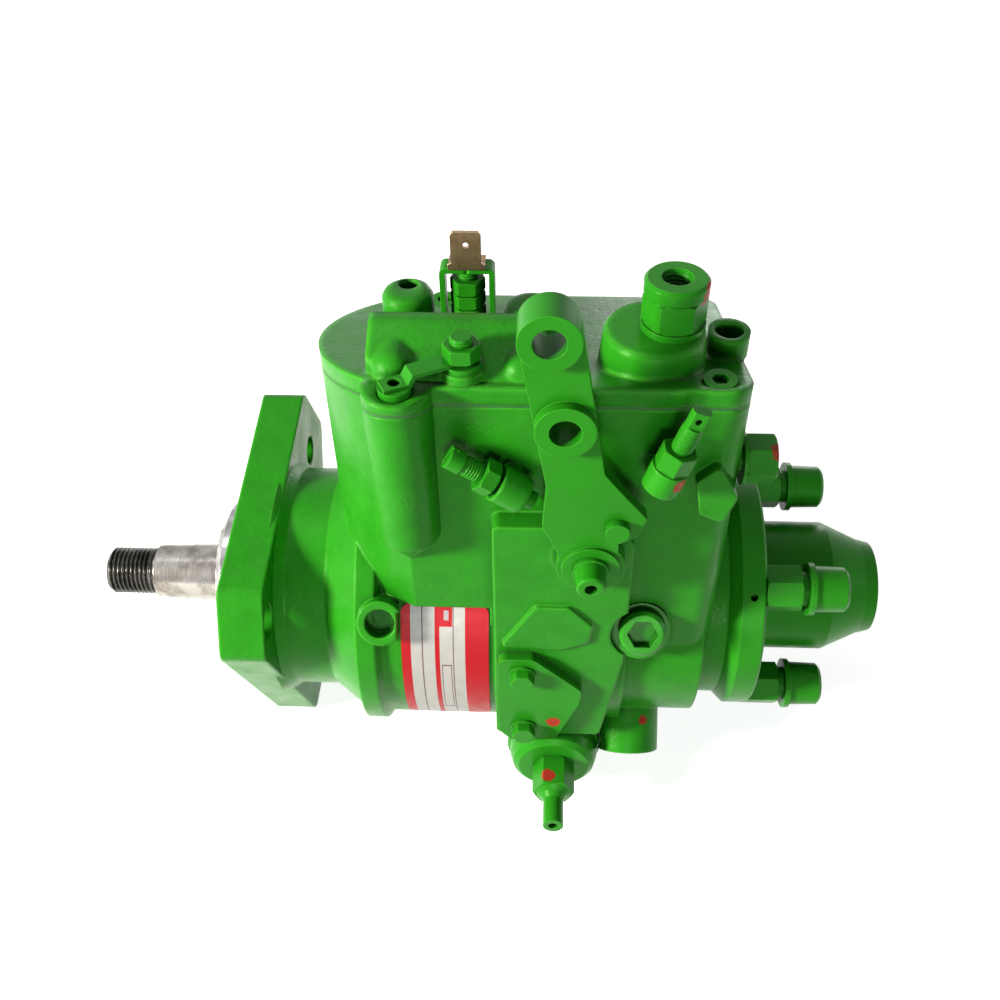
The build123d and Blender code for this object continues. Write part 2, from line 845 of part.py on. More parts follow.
with BuildPart() as advance_spring:
    coil_start = cam_pin_ball_r + 3.2
    coil_end = advance_boss_half - 5.2
    with BuildLine() as coil:
        Helix(
            pitch=(coil_end - coil_start - 1.6) / 6,
            height=coil_end - coil_start - 1.6,
            radius=3.7,
            center=(advance_x, coil_start + 0.8, advance_z),
            direction=(0, 1, 0),
        )
    with BuildSketch(Plane(origin=coil.line @ 0, z_dir=coil.line % 0)) as wire:
        Circle(0.7)
    sweep(wire.sketch, path=coil.line, is_frenet=True)

far_side = Plane(origin=(advance_x, advance_boss_half, advance_z), x_dir=(1, 0, 0), z_dir=(0, 1, 0))
with BuildPart() as advance_plug:
    turn(
        far_side,
        (
            (-5, 0),
            (-5, advance_r - running_gap),
            (0, advance_r - running_gap),
            (0, advance_boss_r - 1.5),
            (3, advance_boss_r - 1.5),
            (4, advance_boss_r - 2.5),
            (4, 0),
        ),
    )
    hexagon(far_side.offset(4), 14, 4)

trimmer = near(advance_x, -advance_boss_half, advance_z)
with BuildPart() as trimmer_body:
    turn(
        trimmer,
        (
            (-5, 3.4),
            (-5, advance_r - running_gap),
            (0, advance_r - running_gap),
            (0, advance_boss_r + 1),
            (1, advance_boss_r + 1),
            (1, advance_boss_r - 0.6),
            (1.8, advance_boss_r - 0.6),
            (1.8, advance_boss_r + 1.2),
            (4, advance_boss_r + 1.2),
            (4.6, advance_boss_r + 0.4),
            (8, advance_boss_r),
            (11, advance_boss_r - 1),
            (12.5, advance_boss_r - 2.8),
            (12.5, 3.4),
        ),
    )

with BuildPart() as trimmer_screw:
    rod(trimmer.offset(-3), 3.4 - running_gap, 16)
    hexagon(trimmer.offset(12.5), 12, 10.5)
    turn(trimmer, ((23, 0), (23, 5.6), (24.2, 4.2), (26, 3.3), (35, 3.3), (35, 0)))
    rod(trimmer.offset(30), 1.6, 6, Mode.SUBTRACT)
    with BuildSketch(trimmer.offset(-3)):
        Circle(1.2)
    extrude(amount=20, mode=Mode.SUBTRACT)

with BuildPart() as timing_gasket:
    slab(near(0, -timing_face, 0), timing_corners, timing_gasket_thickness, 3)
    for x, z in timing_screws:
        rod(near(x, -timing_face + 1, z), tap_hole_r, 3, Mode.SUBTRACT)

with BuildPart() as timing_cover:
    slab(near(0, -timing_face - timing_gasket_thickness, 0), timing_corners, timing_cover_thickness, 3)
    for x, z in timing_screws:
        rod(near(x, -timing_face, z), tap_hole_r, 6, Mode.SUBTRACT)

timing_head = timing_face + timing_gasket_thickness + timing_cover_thickness
with BuildPart() as timing_screw_pair:
    for x, z in timing_screws:
        rod(near(x, -timing_face + 8, z), tap_hole_r - running_gap, timing_head - timing_face + 8)
        rod(near(x, -timing_head, z), 4.2, 0.8)
        hexagon(near(x, -timing_head - 0.8, z), 6.4, 3)

with BuildPart() as locating_screw:
    rod(radial_plane(lock_x, head_bore_r - 3.5, side_plug_angle), 6, 24)
    with BuildSketch(radial_plane(lock_x, head_bore_r + 16, side_plug_angle)) as socket:
        RegularPolygon(3, 6, major_radius=False)
    extrude(socket.sketch, amount=5, mode=Mode.SUBTRACT)

with BuildPart() as lock_screws:
    for lock_angle in lock_angles:
        rod(radial_plane(lock_x, head_bore_r - 3.5, lock_angle), 5, lock_pad + 1.2 - head_bore_r + 3.5)
        turn(
            radial_plane(lock_x, lock_pad + 1.2, lock_angle),
            ((0, 0), (0, 7), (3, 7), (4, 6), (4, 0)),
        )
        with BuildSketch(radial_plane(lock_x, lock_pad + 2.2, lock_angle)) as socket:
            RegularPolygon(4, 6, major_radius=False)
        extrude(socket.sketch, amount=4, mode=Mode.SUBTRACT)

with BuildPart() as lock_washers:
    for lock_angle in lock_angles:
        tube(radial_plane(lock_x, lock_pad, lock_angle), 8.6, 5 + running_gap, 1.2)

with BuildPart() as hydraulic_head:
    turn(
        along(0, 0, 0),
        (
            (head_start, rotor_r + running_gap),
            (head_start, head_bore_r - 2),
            (head_start + 2, head_bore_r - running_gap),
            (seal_one - 1.4, head_bore_r - running_gap),
            (seal_one - 1.4, head_bore_r - 2.6),
            (seal_one + 1.4, head_bore_r - 2.6),
            (seal_one + 1.4, head_bore_r - running_gap),
            (seal_two - 1.4, head_bore_r - running_gap),
            (seal_two - 1.4, head_bore_r - 2.6),
            (seal_two + 1.4, head_bore_r - 2.6),
            (seal_two + 1.4, head_bore_r - running_gap),
            (housing_end, head_bore_r - running_gap),
            (housing_end, throat_r),
            (housing_end + 3.5, head_flange_r),
            (head_face - 0.8, head_flange_r),
            (head_face, head_flange_r - 0.8),
            (head_face, rotor_r + running_gap),
        ),
    )
    rod(upright(valve_x, 0, valve_bottom - 0.5), valve_r + running_gap, 30, Mode.SUBTRACT)
    for lock_angle in lock_angles:
        rod(radial_plane(lock_x, head_bore_r - 4, lock_angle), 5 + running_gap, 8, Mode.SUBTRACT)
    rod(radial_plane(lock_x, head_bore_r - 4, side_plug_angle), 6 + running_gap, 8, Mode.SUBTRACT)
    for fitting_angle in fitting_angles:
        y, z = radial(fitting_circle_r, fitting_angle)
        rod(along(head_face - fitting_depth, y, z), fitting_r + running_gap, fitting_depth, Mode.SUBTRACT)
    rod(radial_plane(head_face - 4, head_flange_r - 3, 41), 1.2, 6, Mode.SUBTRACT)

with BuildPart() as head_seal_rings:
    for seal_x in (seal_one, seal_two):
        with Locations(along(seal_x, 0, 0)):
            Torus(head_bore_r - 1.32, 1.25)

with BuildPart() as discharge_fittings:
    for fitting_angle in fitting_angles:
        y, z = radial(fitting_circle_r, fitting_angle)
        rod(along(head_face - fitting_depth + 0.5, y, z), fitting_r, fitting_depth - 0.5)
        hexagon(along(head_face, y, z), fitting_hex, fitting_hex_length)
        rod(along(head_face + fitting_hex_length, y, z), fitting_r + 0.4, fitting_neck)
        rod(along(fitting_disc_x - 1, y, z), fitting_r, cap_length)
        rod(along(head_face - fitting_depth, y, z), 1, 60, Mode.SUBTRACT)

with BuildPart() as fitting_washers:
    for fitting_angle in fitting_angles:
        y, z = radial(fitting_circle_r, fitting_angle)
        tube(along(fitting_disc_x, y, z), cap_r + 1, fitting_r + running_gap, 1.8)

with BuildPart() as shipping_caps:
    for fitting_angle in fitting_angles:
        y, z = radial(fitting_circle_r, fitting_angle)
        turn(
            along(fitting_disc_x + 1.8, y, z),
            (
                (0, fitting_r + running_gap),
                (0, cap_r),
                (cap_length - 1, cap_r - 0.3),
                (cap_length, cap_r - 1.3),
                (cap_length, 0),
                (cap_length - 1.5, 0),
                (cap_length - 1.5, fitting_r + running_gap),
            ),
        )

cap_floor = head_face + liner_length
cap_shoulder = head_face + end_cap_length
cap_end = cap_shoulder + end_cap_cone
with BuildPart() as end_cap:
    turn(
        along(0, 0, 0),
        (
            (head_face, liner_r + running_gap),
            (head_face, end_cap_r),
            (cap_shoulder, end_cap_r),
            (cap_end, end_cap_r - 5.5),
            (cap_end + inlet_length, end_cap_r - 6.5),
            (cap_end + inlet_length, inlet_bore_r),
            (cap_end - 8, inlet_bore_r),
            (cap_end - 8, 2.5),
            (cap_end - 10, 2.5),
            (cap_end - 10, regulator_r + running_gap),
            (cap_floor, regulator_r + running_gap),
            (cap_floor, liner_r + running_gap),
        ),
    )

with BuildPart() as pump_liner:
    with BuildSketch(along(head_face, 0, 0)) as liner_section:
        Circle(liner_r)
        with Locations((liner_offset, 0)):
            Circle(rotor_r + liner_offset + 0.6, mode=Mode.SUBTRACT)
    extrude(liner_section.sketch, amount=liner_length - end_plate_thickness)

with BuildPart() as pump_end_plate:
    tube(along(cap_floor - end_plate_thickness, 0, 0), liner_r, 3, end_plate_thickness)

with BuildPart() as pump_blades:
    with BuildSketch(along(head_face + 0.2, 0, 0)) as blade_sections:
        with PolarLocations((rotor_r + 3.4) / 2, 4):
            Rectangle(rotor_r - 3, blade_thickness)
    extrude(blade_sections.sketch, amount=rotor_end - head_face - 0.2)

with BuildPart() as regulator_piston:
    turn(
        along(cap_floor + 0.4, 0, 0),
        ((0, 0), (0, regulator_r), (6, regulator_r), (6, regulator_r - 1.5), (1.5, regulator_r - 1.5), (1.5, 0)),
    )

with BuildPart() as regulator_spring:
    coil_start = cap_floor + 2.1
    coil_end = cap_end - 10.1
    with BuildLine() as coil:
        Helix(
            pitch=(coil_end - coil_start - 1) / 6,
            height=coil_end - coil_start - 1,
            radius=regulator_r - 2.4,
            center=(coil_start + 0.5, 0, 0),
            direction=(1, 0, 0),
        )
    with BuildSketch(Plane(origin=coil.line @ 0, z_dir=coil.line % 0)) as wire:
        Circle(0.4)
    sweep(wire.sketch, path=coil.line, is_frenet=True)


def stud_seat(x, y):
    """Height at which a terminal stud's insulator sits on the cover."""
    if y > rail_top_y:
        return joint_z(y) + cover_high + 1.2
    climb = (y - rail_front_y) / (rail_top_y - rail_front_y)
    low_z = joint_z(rail_front_y) + cover_high
    return low_z + climb * (joint_z(rail_top_y) + rail_height - low_z) + 1


with BuildPart() as cover_gasket:
    chamber(0, joint_far_z - 10, 40)
    rod(upright(pillar_x, pillar_y, joint_far_z - 10), pillar_r, 40)
    chamber(chamber_wall, joint_far_z - 20, 60, Mode.SUBTRACT)
    for x, y in screw_places:
        rod(upright(x, y, joint_z(y) - 2), screw_r + 0.3, 10, Mode.SUBTRACT)
    wedge(-60, 0, chamber_left - 20, chamber_right + 20, Mode.SUBTRACT)
    wedge(gasket_thickness, 60, chamber_left - 20, chamber_right + 20, Mode.SUBTRACT)


def rail_section(inset):
    """The raised rail across the cover's front, as a side profile; inset gives the hollow under it."""
    front = rail_front_y + inset
    top = joint_z(rail_top_y) + rail_height - inset
    return (
        (front, joint_z(front) + cover_low - 2),
        (front, joint_z(front) + cover_high - inset / 2),
        (rail_top_y + inset / 3, top),
        (rail_top_y + 4 - inset / 3, top),
        (rail_top_y + 7 - inset, joint_z(rail_top_y + 7) + cover_high - cover_roof),
        (rail_top_y + 7 - inset, joint_z(rail_top_y + 7) + cover_low - 2),
    )


with BuildPart() as governor_cover:
    chamber(0, joint_far_z - 10, 40)
    rod(upright(pillar_x, pillar_y, joint_far_z - 10), pillar_r, 40)
    wedge(-60, cover_low, chamber_left - 20, chamber_right + 20, Mode.SUBTRACT)
    wedge(cover_high, 60, chamber_left - 20, chamber_right + 20, Mode.SUBTRACT)
    # The raised rail over the weights, cut to the cover's rounded end
    with BuildPart(mode=Mode.PRIVATE) as rail:
        slab(Plane.YZ.offset(rail_start), rail_section(0), rail_end - rail_start, 0)
        with BuildPart(mode=Mode.PRIVATE) as rail_plan:
            chamber(3, joint_far_z - 10, 60)
        add(rail_plan.part, mode=Mode.INTERSECT)
    add(rail.part)
    # Bosses that lie in the rail's slope, each with a ball end
    for boss_x in rail_boss_xs:
        bullet(near(boss_x, rail_top_y, rail_boss_z), rail_boss_r, rail_top_y - rail_boss_tip)
    # Round bosses behind the rail, the pad of the return fitting and the sensor cup
    for boss_x, boss_y, boss_z, boss_r in round_bosses:
        boss_base = joint_z(boss_y) + cover_low
        boss_height = boss_z - boss_base
        turn(
            upright(boss_x, boss_y, boss_base),
            ((0, 0), (0, boss_r), (boss_height - 2, boss_r - 0.3), (boss_height - 0.6, boss_r - 1.1),
             (boss_height, boss_r - 2.8), (boss_height, 0)),
        )
    pad_x, pad_y = pad_place
    pad_base = joint_z(pad_y) + cover_low
    turn(
        upright(pad_x, pad_y, pad_base),
        ((0, 0), (0, pad_r + 1.6), (pad_top - pad_base - 1, pad_r), (pad_top - pad_base, pad_r - 0.8),
         (pad_top - pad_base, 0)),
    )
    cup_x, cup_y = cup_place
    cup_base = joint_z(cup_y) + cover_low
    rod(upright(cup_x, cup_y, cup_base), cup_r - 0.5, cup_top - cup_base)
    rod(upright(cup_x, cup_y, cup_top - 7), cup_r, 7)
    rod(upright(cup_x, cup_y, cup_top - cup_depth), cup_r - 1.7, cup_depth, Mode.SUBTRACT)
    # What the raised forms carry below the joint, past the outline and inside the hollow goes
    wedge(-60, cover_low, chamber_left - 20, chamber_right + 20, Mode.SUBTRACT)
    with BuildPart(mode=Mode.PRIVATE) as hollow:
        chamber(chamber_wall, joint_far_z - 20, 60)
        wedge(cover_high - cover_roof, 80, chamber_left - 20, chamber_right + 20, Mode.SUBTRACT)
    add(hollow.part, mode=Mode.SUBTRACT)
    with BuildPart(mode=Mode.PRIVATE) as rail_hollow:
        slab(Plane.YZ.offset(rail_start + 4), rail_section(3.5), rail_end - rail_start - 8, 0)
        with BuildPart(mode=Mode.PRIVATE) as rail_hollow_plan:
            chamber(chamber_wall, joint_far_z - 20, 60)
        add(rail_hollow_plan.part, mode=Mode.INTERSECT)
    add(rail_hollow.part, mode=Mode.SUBTRACT)
    # Posts that carry the shut-off coil
    for post_x in (coil_x + 5, coil_x + coil_length - 5):
        rod(upright(post_x, coil_y, coil_z + coil_r + 2), 3.5, joint_z(coil_y) + cover_high - coil_z - coil_r - 3)
    # Flat seats of the terminals' insulators
    for stud_x, stud_y, stud_low, stud_high, nut_count in studs:
        seat_z = stud_seat(stud_x, stud_y)
        rod(upright(stud_x, stud_y, seat_z - 6), insulator_r + 0.5, 6)
        rod(upright(stud_x, stud_y, seat_z), insulator_r + 0.8, 16, Mode.SUBTRACT)
    # Holes for the terminals, the return fitting and the cover screws
    for stud_x, stud_y, stud_low, stud_high, nut_count in studs:
        rod(upright(stud_x, stud_y, stud_low - 1), stud_r + running_gap, 40, Mode.SUBTRACT)
    rod(upright(return_place[0], return_place[1], joint_far_z), 4, 40, Mode.SUBTRACT)
    first_boss = round_bosses[0]
    rod(upright(first_boss[0], first_boss[1] + 3, first_boss[2] - 6), 3, 8, Mode.SUBTRACT)
    for x, y in screw_places:
        seat_height = cover_low + 2.5 + 5
        turn(
            upright(x, y, joint_z(y) - 5),
            (
                (0, 0),
                (0, screw_r + running_gap),
                (seat_height, screw_r + running_gap),
                (seat_height, screw_head_r + air_gap),
                (40, screw_head_r + air_gap),
                (40, 0),
            ),
            Mode.SUBTRACT,
        )

with BuildPart() as cover_screws:
    for x, y in screw_places:
        seat_z = joint_z(y) + cover_low + 2.5
        rod(upright(x, y, joint_z(y) - 13.5), screw_r - running_gap, seat_z - joint_z(y) + 13.5)
        rod(upright(x, y, seat_z), screw_head_r, 4)
        with BuildSketch(upright(x, y, seat_z + 1.6)) as socket:
            RegularPolygon(2, 6, major_radius=False)
        extrude(socket.sketch, amount=3, mode=Mode.SUBTRACT)

return_x, return_y = return_place
with BuildPart() as return_connector:
    fitting_base = upright(return_x, return_y, pad_top)
    turn(
        fitting_base,
        (
            (-12, 2),
            (-12, 4 - running_gap),
            (0, 4 - running_gap),
            (0, return_washer_r),
            (return_washer_height, return_washer_r),
            (return_washer_height, 2),
        ),
    )
    hexagon(fitting_base.offset(return_washer_height), return_hex, return_hex_length, 2)
    turn(
        fitting_base.offset(return_washer_height + return_hex_length),
        (
            (0, return_bore_r),
            (0, return_collar_r - 0.8),
            (0.8, return_collar_r),
            (return_collar_length - 0.8, return_collar_r),
            (return_collar_length, return_collar_r - 0.8),
            (return_collar_length, return_bore_r),
        ),
    )
    rod(fitting_base.offset(return_floor), return_bore_r, 20, Mode.SUBTRACT)

stud_one, stud_two = studs
spade_top = bracket_top + spade_height
bracket_x, bracket_y = stud_one[0], stud_one[1]
bracket_foot = joint_z(bracket_y - bracket_depth / 2) + cover_high
with BuildPart() as terminal_bracket:
    with BuildSketch(near(0, bracket_y + bracket_depth / 2, 0)) as bracket_section:
        with BuildLine():
            Polyline(
                (bracket_x - bracket_half, bracket_foot),
                (bracket_x - bracket_half, bracket_top),
                (bracket_x + bracket_half, bracket_top),
                (bracket_x + bracket_half, bracket_foot),
                (bracket_x + bracket_half - 1.6, bracket_foot),
                (bracket_x + bracket_half - 1.6, bracket_top - 1.6),
                (bracket_x - bracket_half + 1.6, bracket_top - 1.6),
                (bracket_x - bracket_half + 1.6, bracket_foot),
                close=True,
            )
        make_face()
        top_corners = bracket_section.vertices().group_by(Axis.Y)[-1]
        fillet(top_corners, 1.8)
    extrude(bracket_section.sketch, amount=bracket_depth)
    rod(upright(bracket_x, bracket_y, bracket_top - 3), stud_r + running_gap, 6, Mode.SUBTRACT)

with BuildPart() as spade_terminal:
    with BuildSketch(near(0, bracket_y - stud_r, 0)) as blade:
        with BuildLine():
            Polyline(
                (bracket_x - spade_foot_half, bracket_top),
                (bracket_x + spade_foot_half, bracket_top),
                (bracket_x + spade_foot_half, bracket_top + 1.7),
                (bracket_x + spade_half, bracket_top + 2.2),
                (bracket_x + spade_half, spade_top - 1),
                (bracket_x + spade_half - 0.8, spade_top),
                (bracket_x - spade_half + 0.8, spade_top),
                (bracket_x - spade_half, spade_top - 1),
                (bracket_x - spade_half, bracket_top + 2.2),
                (bracket_x - spade_foot_half, bracket_top + 1.7),
                close=True,
            )
        make_face()
        with Locations((bracket_x, spade_top - 4)):
            Circle(0.8, mode=Mode.SUBTRACT)
    extrude(blade.sketch, amount=0.8)
    with BuildSketch(upright(bracket_x, bracket_y, bracket_top)) as spade_foot:
        Rectangle(2 * spade_foot_half, 2 * stud_r + 1.6)
        Circle(stud_r + running_gap, mode=Mode.SUBTRACT)
    extrude(spade_foot.sketch, amount=0.8)

with BuildPart() as terminal_studs:
    for stud_x, stud_y, stud_low, stud_high, nut_count in studs:
        rod(upright(stud_x, stud_y, stud_low), stud_r, stud_high - stud_low)

with BuildPart() as terminal_insulators:
    for stud_x, stud_y, stud_low, stud_high, nut_count in studs:
        seat_z = stud_seat(stud_x, stud_y)
        tube(upright(stud_x, stud_y, seat_z), insulator_r, stud_r + running_gap, insulator_height)

with BuildPart() as terminal_nuts:
    for stud_x, stud_y, stud_low, stud_high, nut_count in studs:
        nut_low = stud_seat(stud_x, stud_y) + insulator_height + strap_thickness
        for place in range(nut_count):
            hexagon(upright(stud_x, stud_y, nut_low + nut_step * place), nut_flats, nut_height, stud_r + running_gap)

strap_x, strap_y = screw_places[0]
strap_low = joint_z(strap_y) + cover_low + 2.5 + 4
strap_high = stud_seat(stud_two[0], stud_two[1]) + insulator_height
with BuildPart() as ground_strap:
    strap_dx, strap_dy = stud_two[0] - strap_x, stud_two[1] - strap_y
    strap_length = sqrt(strap_dx**2 + strap_dy**2)
    strap_run = Vector(strap_dx / strap_length, strap_dy / strap_length, 0)
    strap_side = Vector(strap_run.Y, -strap_run.X, 0)
    with BuildSketch(Plane(origin=Vector(strap_x, strap_y, 0) - strap_side * 2.6, x_dir=strap_run,
                           z_dir=strap_side)) as strap_section:
        with BuildLine():
            Polyline(
                (-3.5, strap_low),
                (3.6, strap_low),
                (5, strap_high),
                (strap_length + 4, strap_high),
                (strap_length + 4, strap_high + 1),
                (4.1, strap_high + 1),
                (2.7, strap_low + 1),
                (-3.5, strap_low + 1),
                close=True,
            )
        make_face()
    extrude(strap_section.sketch, amount=5.2)
    rod(upright(stud_two[0], stud_two[1], strap_high - 5), stud_r + running_gap, 12, Mode.SUBTRACT)
    rod(upright(strap_x, strap_y, strap_low - 5), 1.6, 12, Mode.SUBTRACT)

with BuildPart() as shutoff_coil:
    rod(along(coil_x, coil_y, coil_z), coil_r, coil_length)
    rod(along(coil_x + 3, coil_y, coil_z), coil_r + 1, coil_length - 6)
    for post_x in (coil_x + 5, coil_x + coil_length - 5):
        rod(upright(post_x, coil_y, coil_z), 4.5, coil_r + 2)

with BuildPart() as shutoff_armature:
    slab(
        along(coil_x + coil_length + air_gap, coil_y, 0),
        ((-6, coil_z - coil_r - 4), (-6, coil_z + 3), (6, coil_z + 3), (6, coil_z - coil_r - 4)),
        1.5,
        1,
    )

with BuildPart() as throttle_shaft:
    shaft_line = near(throttle_x, chamber_half - 3, throttle_z)
    tip = lever_front + 2.2
    rod(shaft_line, throttle_r, chamber_half - 3 + tip)
    turn(near(throttle_x, -tip, throttle_z), ((0, 0), (0, 4.4), (5.5, 4), (6, 3.5), (6, 0)))
    rod(near(throttle_x, -tip, throttle_z), 1.8, 7, Mode.SUBTRACT)
    slab(
        near(throttle_x, finger_y + 3, throttle_z),
        ((-2.9, 3), (2.9, 3), (2.9, -throttle_finger - 5), (-2.9, -throttle_finger - 5)),
        6,
        1,
    )

lean = radians(lever_lean)
lever_up = (-sin(lean), cos(lean))


def on_lever(reach, across):
    """(x, z) of a place a distance up the lever's middle line and across it to the right."""
    up_x, up_z = lever_up
    return throttle_x + up_x * reach + up_z * across, throttle_z + up_z * reach - up_x * across


with BuildPart() as throttle_lever:
    back = near(0, -lever_back, 0)
    slab(
        back,
        (
            on_lever(lever_reach, lever_half),
            on_lever(lever_reach, -lever_half),
            on_lever(30, -lever_half),
            on_lever(24, -lever_foot_half + 0.5),
            on_lever(17, -lever_foot_half - 1),
            on_lever(8, -lever_boss_r + 1),
            on_lever(0, -lever_boss_r + 2),
            on_lever(0, lever_boss_r - 2),
            on_lever(8, lever_boss_r - 1),
            on_lever(10, lever_foot_half + 4),
            on_lever(16, lever_foot_half + 7),
            on_lever(25, lever_foot_half + 2),
            on_lever(33, lever_half),
        ),
        lever_thickness,
        0,
    )
    top_x, top_z = on_lever(lever_reach, 0)
    rod(near(top_x, -lever_back, top_z), lever_half, lever_thickness)
    rod(near(throttle_x, -lever_back, throttle_z), lever_boss_r, lever_thickness)
    rod(near(throttle_x, -lever_back - lever_thickness, throttle_z), lever_boss_r - 1.4, 1)
    eye_length = lever_eye_back + lever_thickness + lever_eye_height
    for hole_reach in (lever_reach, lever_second):
        eye_x, eye_z = on_lever(hole_reach, 0)
        rod(near(eye_x, -lever_back + lever_eye_back, eye_z), lever_half, eye_length)
    for hole_reach in (lever_reach, lever_second):
        eye_x, eye_z = on_lever(hole_reach, 0)
        rod(near(eye_x, -lever_back + lever_eye_back + 1, eye_z), lever_hole_r, eye_length + 2, Mode.SUBTRACT)
    rod(near(throttle_x, -lever_back + 1, throttle_z), throttle_r + running_gap / 2, 20, Mode.SUBTRACT)
    clamp_x, clamp_z = on_lever(14, lever_foot_half - 1)
    rod(near(clamp_x, -lever_back + 1, clamp_z), 1.8, 10, Mode.SUBTRACT)

with BuildPart() as lever_clamp_screw:
    rod(near(clamp_x, -lever_back, clamp_z), 1.8 - running_gap, lever_thickness)
    rod(near(clamp_x, -lever_back - lever_thickness, clamp_z), 3.2, 2.4)

with BuildPart() as idle_screws:
    rod(idle_plane(-17), idle_screw_r, 25.5)
    rod(idle_plane(-18), idle_screw_r + 0.6, 4)
    with BuildSketch(idle_plane(-18)) as slot:
        Rectangle(0.9, 8)
    extrude(slot.sketch, amount=1.6, mode=Mode.SUBTRACT)
    rod(high_idle_plane(-1.5), idle_screw_r, 27.5)
    with BuildSketch(high_idle_plane(21)) as flats:
        Rectangle(8, 8)
        Rectangle(3.4, 8, mode=Mode.SUBTRACT)
    extrude(flats.sketch, amount=8, mode=Mode.SUBTRACT)
    rod(Plane(origin=high_idle_plane(23.5).origin - Vector(0, 4, 0), x_dir=(1, 0, 0), z_dir=(0, 1, 0)), 0.9, 8,
        Mode.SUBTRACT)

with BuildPart() as idle_locknuts:
    hexagon(idle_plane(-8), 8.5, 4, idle_screw_r + running_gap)
    hexagon(high_idle_plane(7), 8.5, 6, idle_screw_r + running_gap)

with BuildPart() as label_plate:
    with BuildSketch(along(label_start, 0, 0)) as band:
        with BuildLine():
            low, middle, high = (radial(body_r + 0.6, angle) for angle in label_angles)
            ThreePointArc(low, middle, high)
            inner_low, inner_middle, inner_high = (radial(body_r + 0.05, angle) for angle in label_angles)
            ThreePointArc(inner_low, inner_middle, inner_high)
            Line(low, inner_low)
            Line(high, inner_high)
        make_face()
    extrude(band.sketch, amount=label_width)

with BuildPart() as vent_plug:
    plug_base = along(chamber_right, *rear_plug)
    rod(plug_base.offset(-2), 3.5 - running_gap, 3)
    rod(plug_base.offset(1), 7.2, 1)
    hexagon(plug_base.offset(2), 12, 8)

pieces = {
    "pump_housing": pump_housing,
    "pilot_tube": pilot_tube,
    "shaft_bush": shaft_bush,
    "shaft_seals": shaft_seals,
    "drive_shaft": drive_shaft,
    "weight_cage": weight_cage,
    "governor_weights": governor_weights,
    "thrust_sleeve": thrust_sleeve,
    "governor_arm": governor_arm,
    "arm_pin": arm_pin,
    "governor_link": governor_link,
    "metering_valve": metering_valve,
    "governor_spring": governor_spring,
    "distributor_rotor": distributor_rotor,
    "pumping_plungers": pumping_plungers,
    "roller_shoes": roller_shoes,
    "cam_rollers": cam_rollers,
    "cam_ring": cam_ring,
    "cam_pin": cam_pin,
    "advance_piston": advance_piston,
    "advance_spring": advance_spring,
    "advance_plug": advance_plug,
    "trimmer_body": trimmer_body,
    "trimmer_screw": trimmer_screw,
    "timing_gasket": timing_gasket,
    "timing_cover": timing_cover,
    "timing_cover_screws": timing_screw_pair,
    "head_locating_screw": locating_screw,
    "head_lock_screws": lock_screws,
    "lock_screw_washers": lock_washers,
    "hydraulic_head": hydraulic_head,
    "head_seal_rings": head_seal_rings,
    "discharge_fittings": discharge_fittings,
    "fitting_washers": fitting_washers,
    "shipping_caps": shipping_caps,
    "end_cap": end_cap,
    "pump_liner": pump_liner,
    "pump_end_plate": pump_end_plate,
    "pump_blades": pump_blades,
    "regulator_piston": regulator_piston,
    "regulator_spring": regulator_spring,
    "governor_cover": governor_cover,
    "cover_gasket": cover_gasket,
    "cover_screws": cover_screws,
    "return_connector": return_connector,
    "terminal_bracket": terminal_bracket,
    "spade_terminal": spade_terminal,
    "terminal_studs": terminal_studs,
    "terminal_insulators": terminal_insulators,
    "terminal_nuts": terminal_nuts,
    "ground_strap": ground_strap,
    "shutoff_coil": shutoff_coil,
    "shutoff_armature": shutoff_armature,
    "throttle_shaft": throttle_shaft,
    "throttle_lever": throttle_lever,
    "lever_clamp_screw": lever_clamp_screw,
    "idle_screws": idle_screws,
    "idle_locknuts": idle_locknuts,
    "label_plate": label_plate,
    "vent_plug": vent_plug,
}
for name, piece in pieces.items():
    piece.part.label = name
    export_step(piece.part, f"parts/{name}.step")
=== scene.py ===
"""Looks of a rotary diesel injection pump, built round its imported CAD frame."""

from __future__ import annotations

import json
import logging
import math
from dataclasses import dataclass
from enum import Enum

import bmesh
import bpy
import numpy as np
from mathutils import Matrix, Vector


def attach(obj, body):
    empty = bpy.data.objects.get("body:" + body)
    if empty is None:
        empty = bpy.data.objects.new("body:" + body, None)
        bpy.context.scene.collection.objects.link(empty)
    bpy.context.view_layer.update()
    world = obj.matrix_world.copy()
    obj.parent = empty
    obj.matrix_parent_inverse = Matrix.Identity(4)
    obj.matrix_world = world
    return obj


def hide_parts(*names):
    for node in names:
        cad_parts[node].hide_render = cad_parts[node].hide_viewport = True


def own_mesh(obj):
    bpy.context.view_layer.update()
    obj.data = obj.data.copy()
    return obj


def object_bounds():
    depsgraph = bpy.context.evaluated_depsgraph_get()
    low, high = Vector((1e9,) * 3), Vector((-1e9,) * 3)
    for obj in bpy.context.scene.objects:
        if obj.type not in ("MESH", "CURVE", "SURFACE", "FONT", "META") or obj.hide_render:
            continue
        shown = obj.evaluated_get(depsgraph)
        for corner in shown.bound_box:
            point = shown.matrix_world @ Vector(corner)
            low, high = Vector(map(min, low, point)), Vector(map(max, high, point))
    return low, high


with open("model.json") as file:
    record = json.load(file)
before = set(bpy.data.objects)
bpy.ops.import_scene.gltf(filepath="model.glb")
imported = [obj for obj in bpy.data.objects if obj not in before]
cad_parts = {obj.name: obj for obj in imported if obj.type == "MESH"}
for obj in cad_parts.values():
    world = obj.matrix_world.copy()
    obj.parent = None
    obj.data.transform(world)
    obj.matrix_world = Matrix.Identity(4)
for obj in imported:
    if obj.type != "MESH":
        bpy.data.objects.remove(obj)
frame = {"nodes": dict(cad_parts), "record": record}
CAD_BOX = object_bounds()

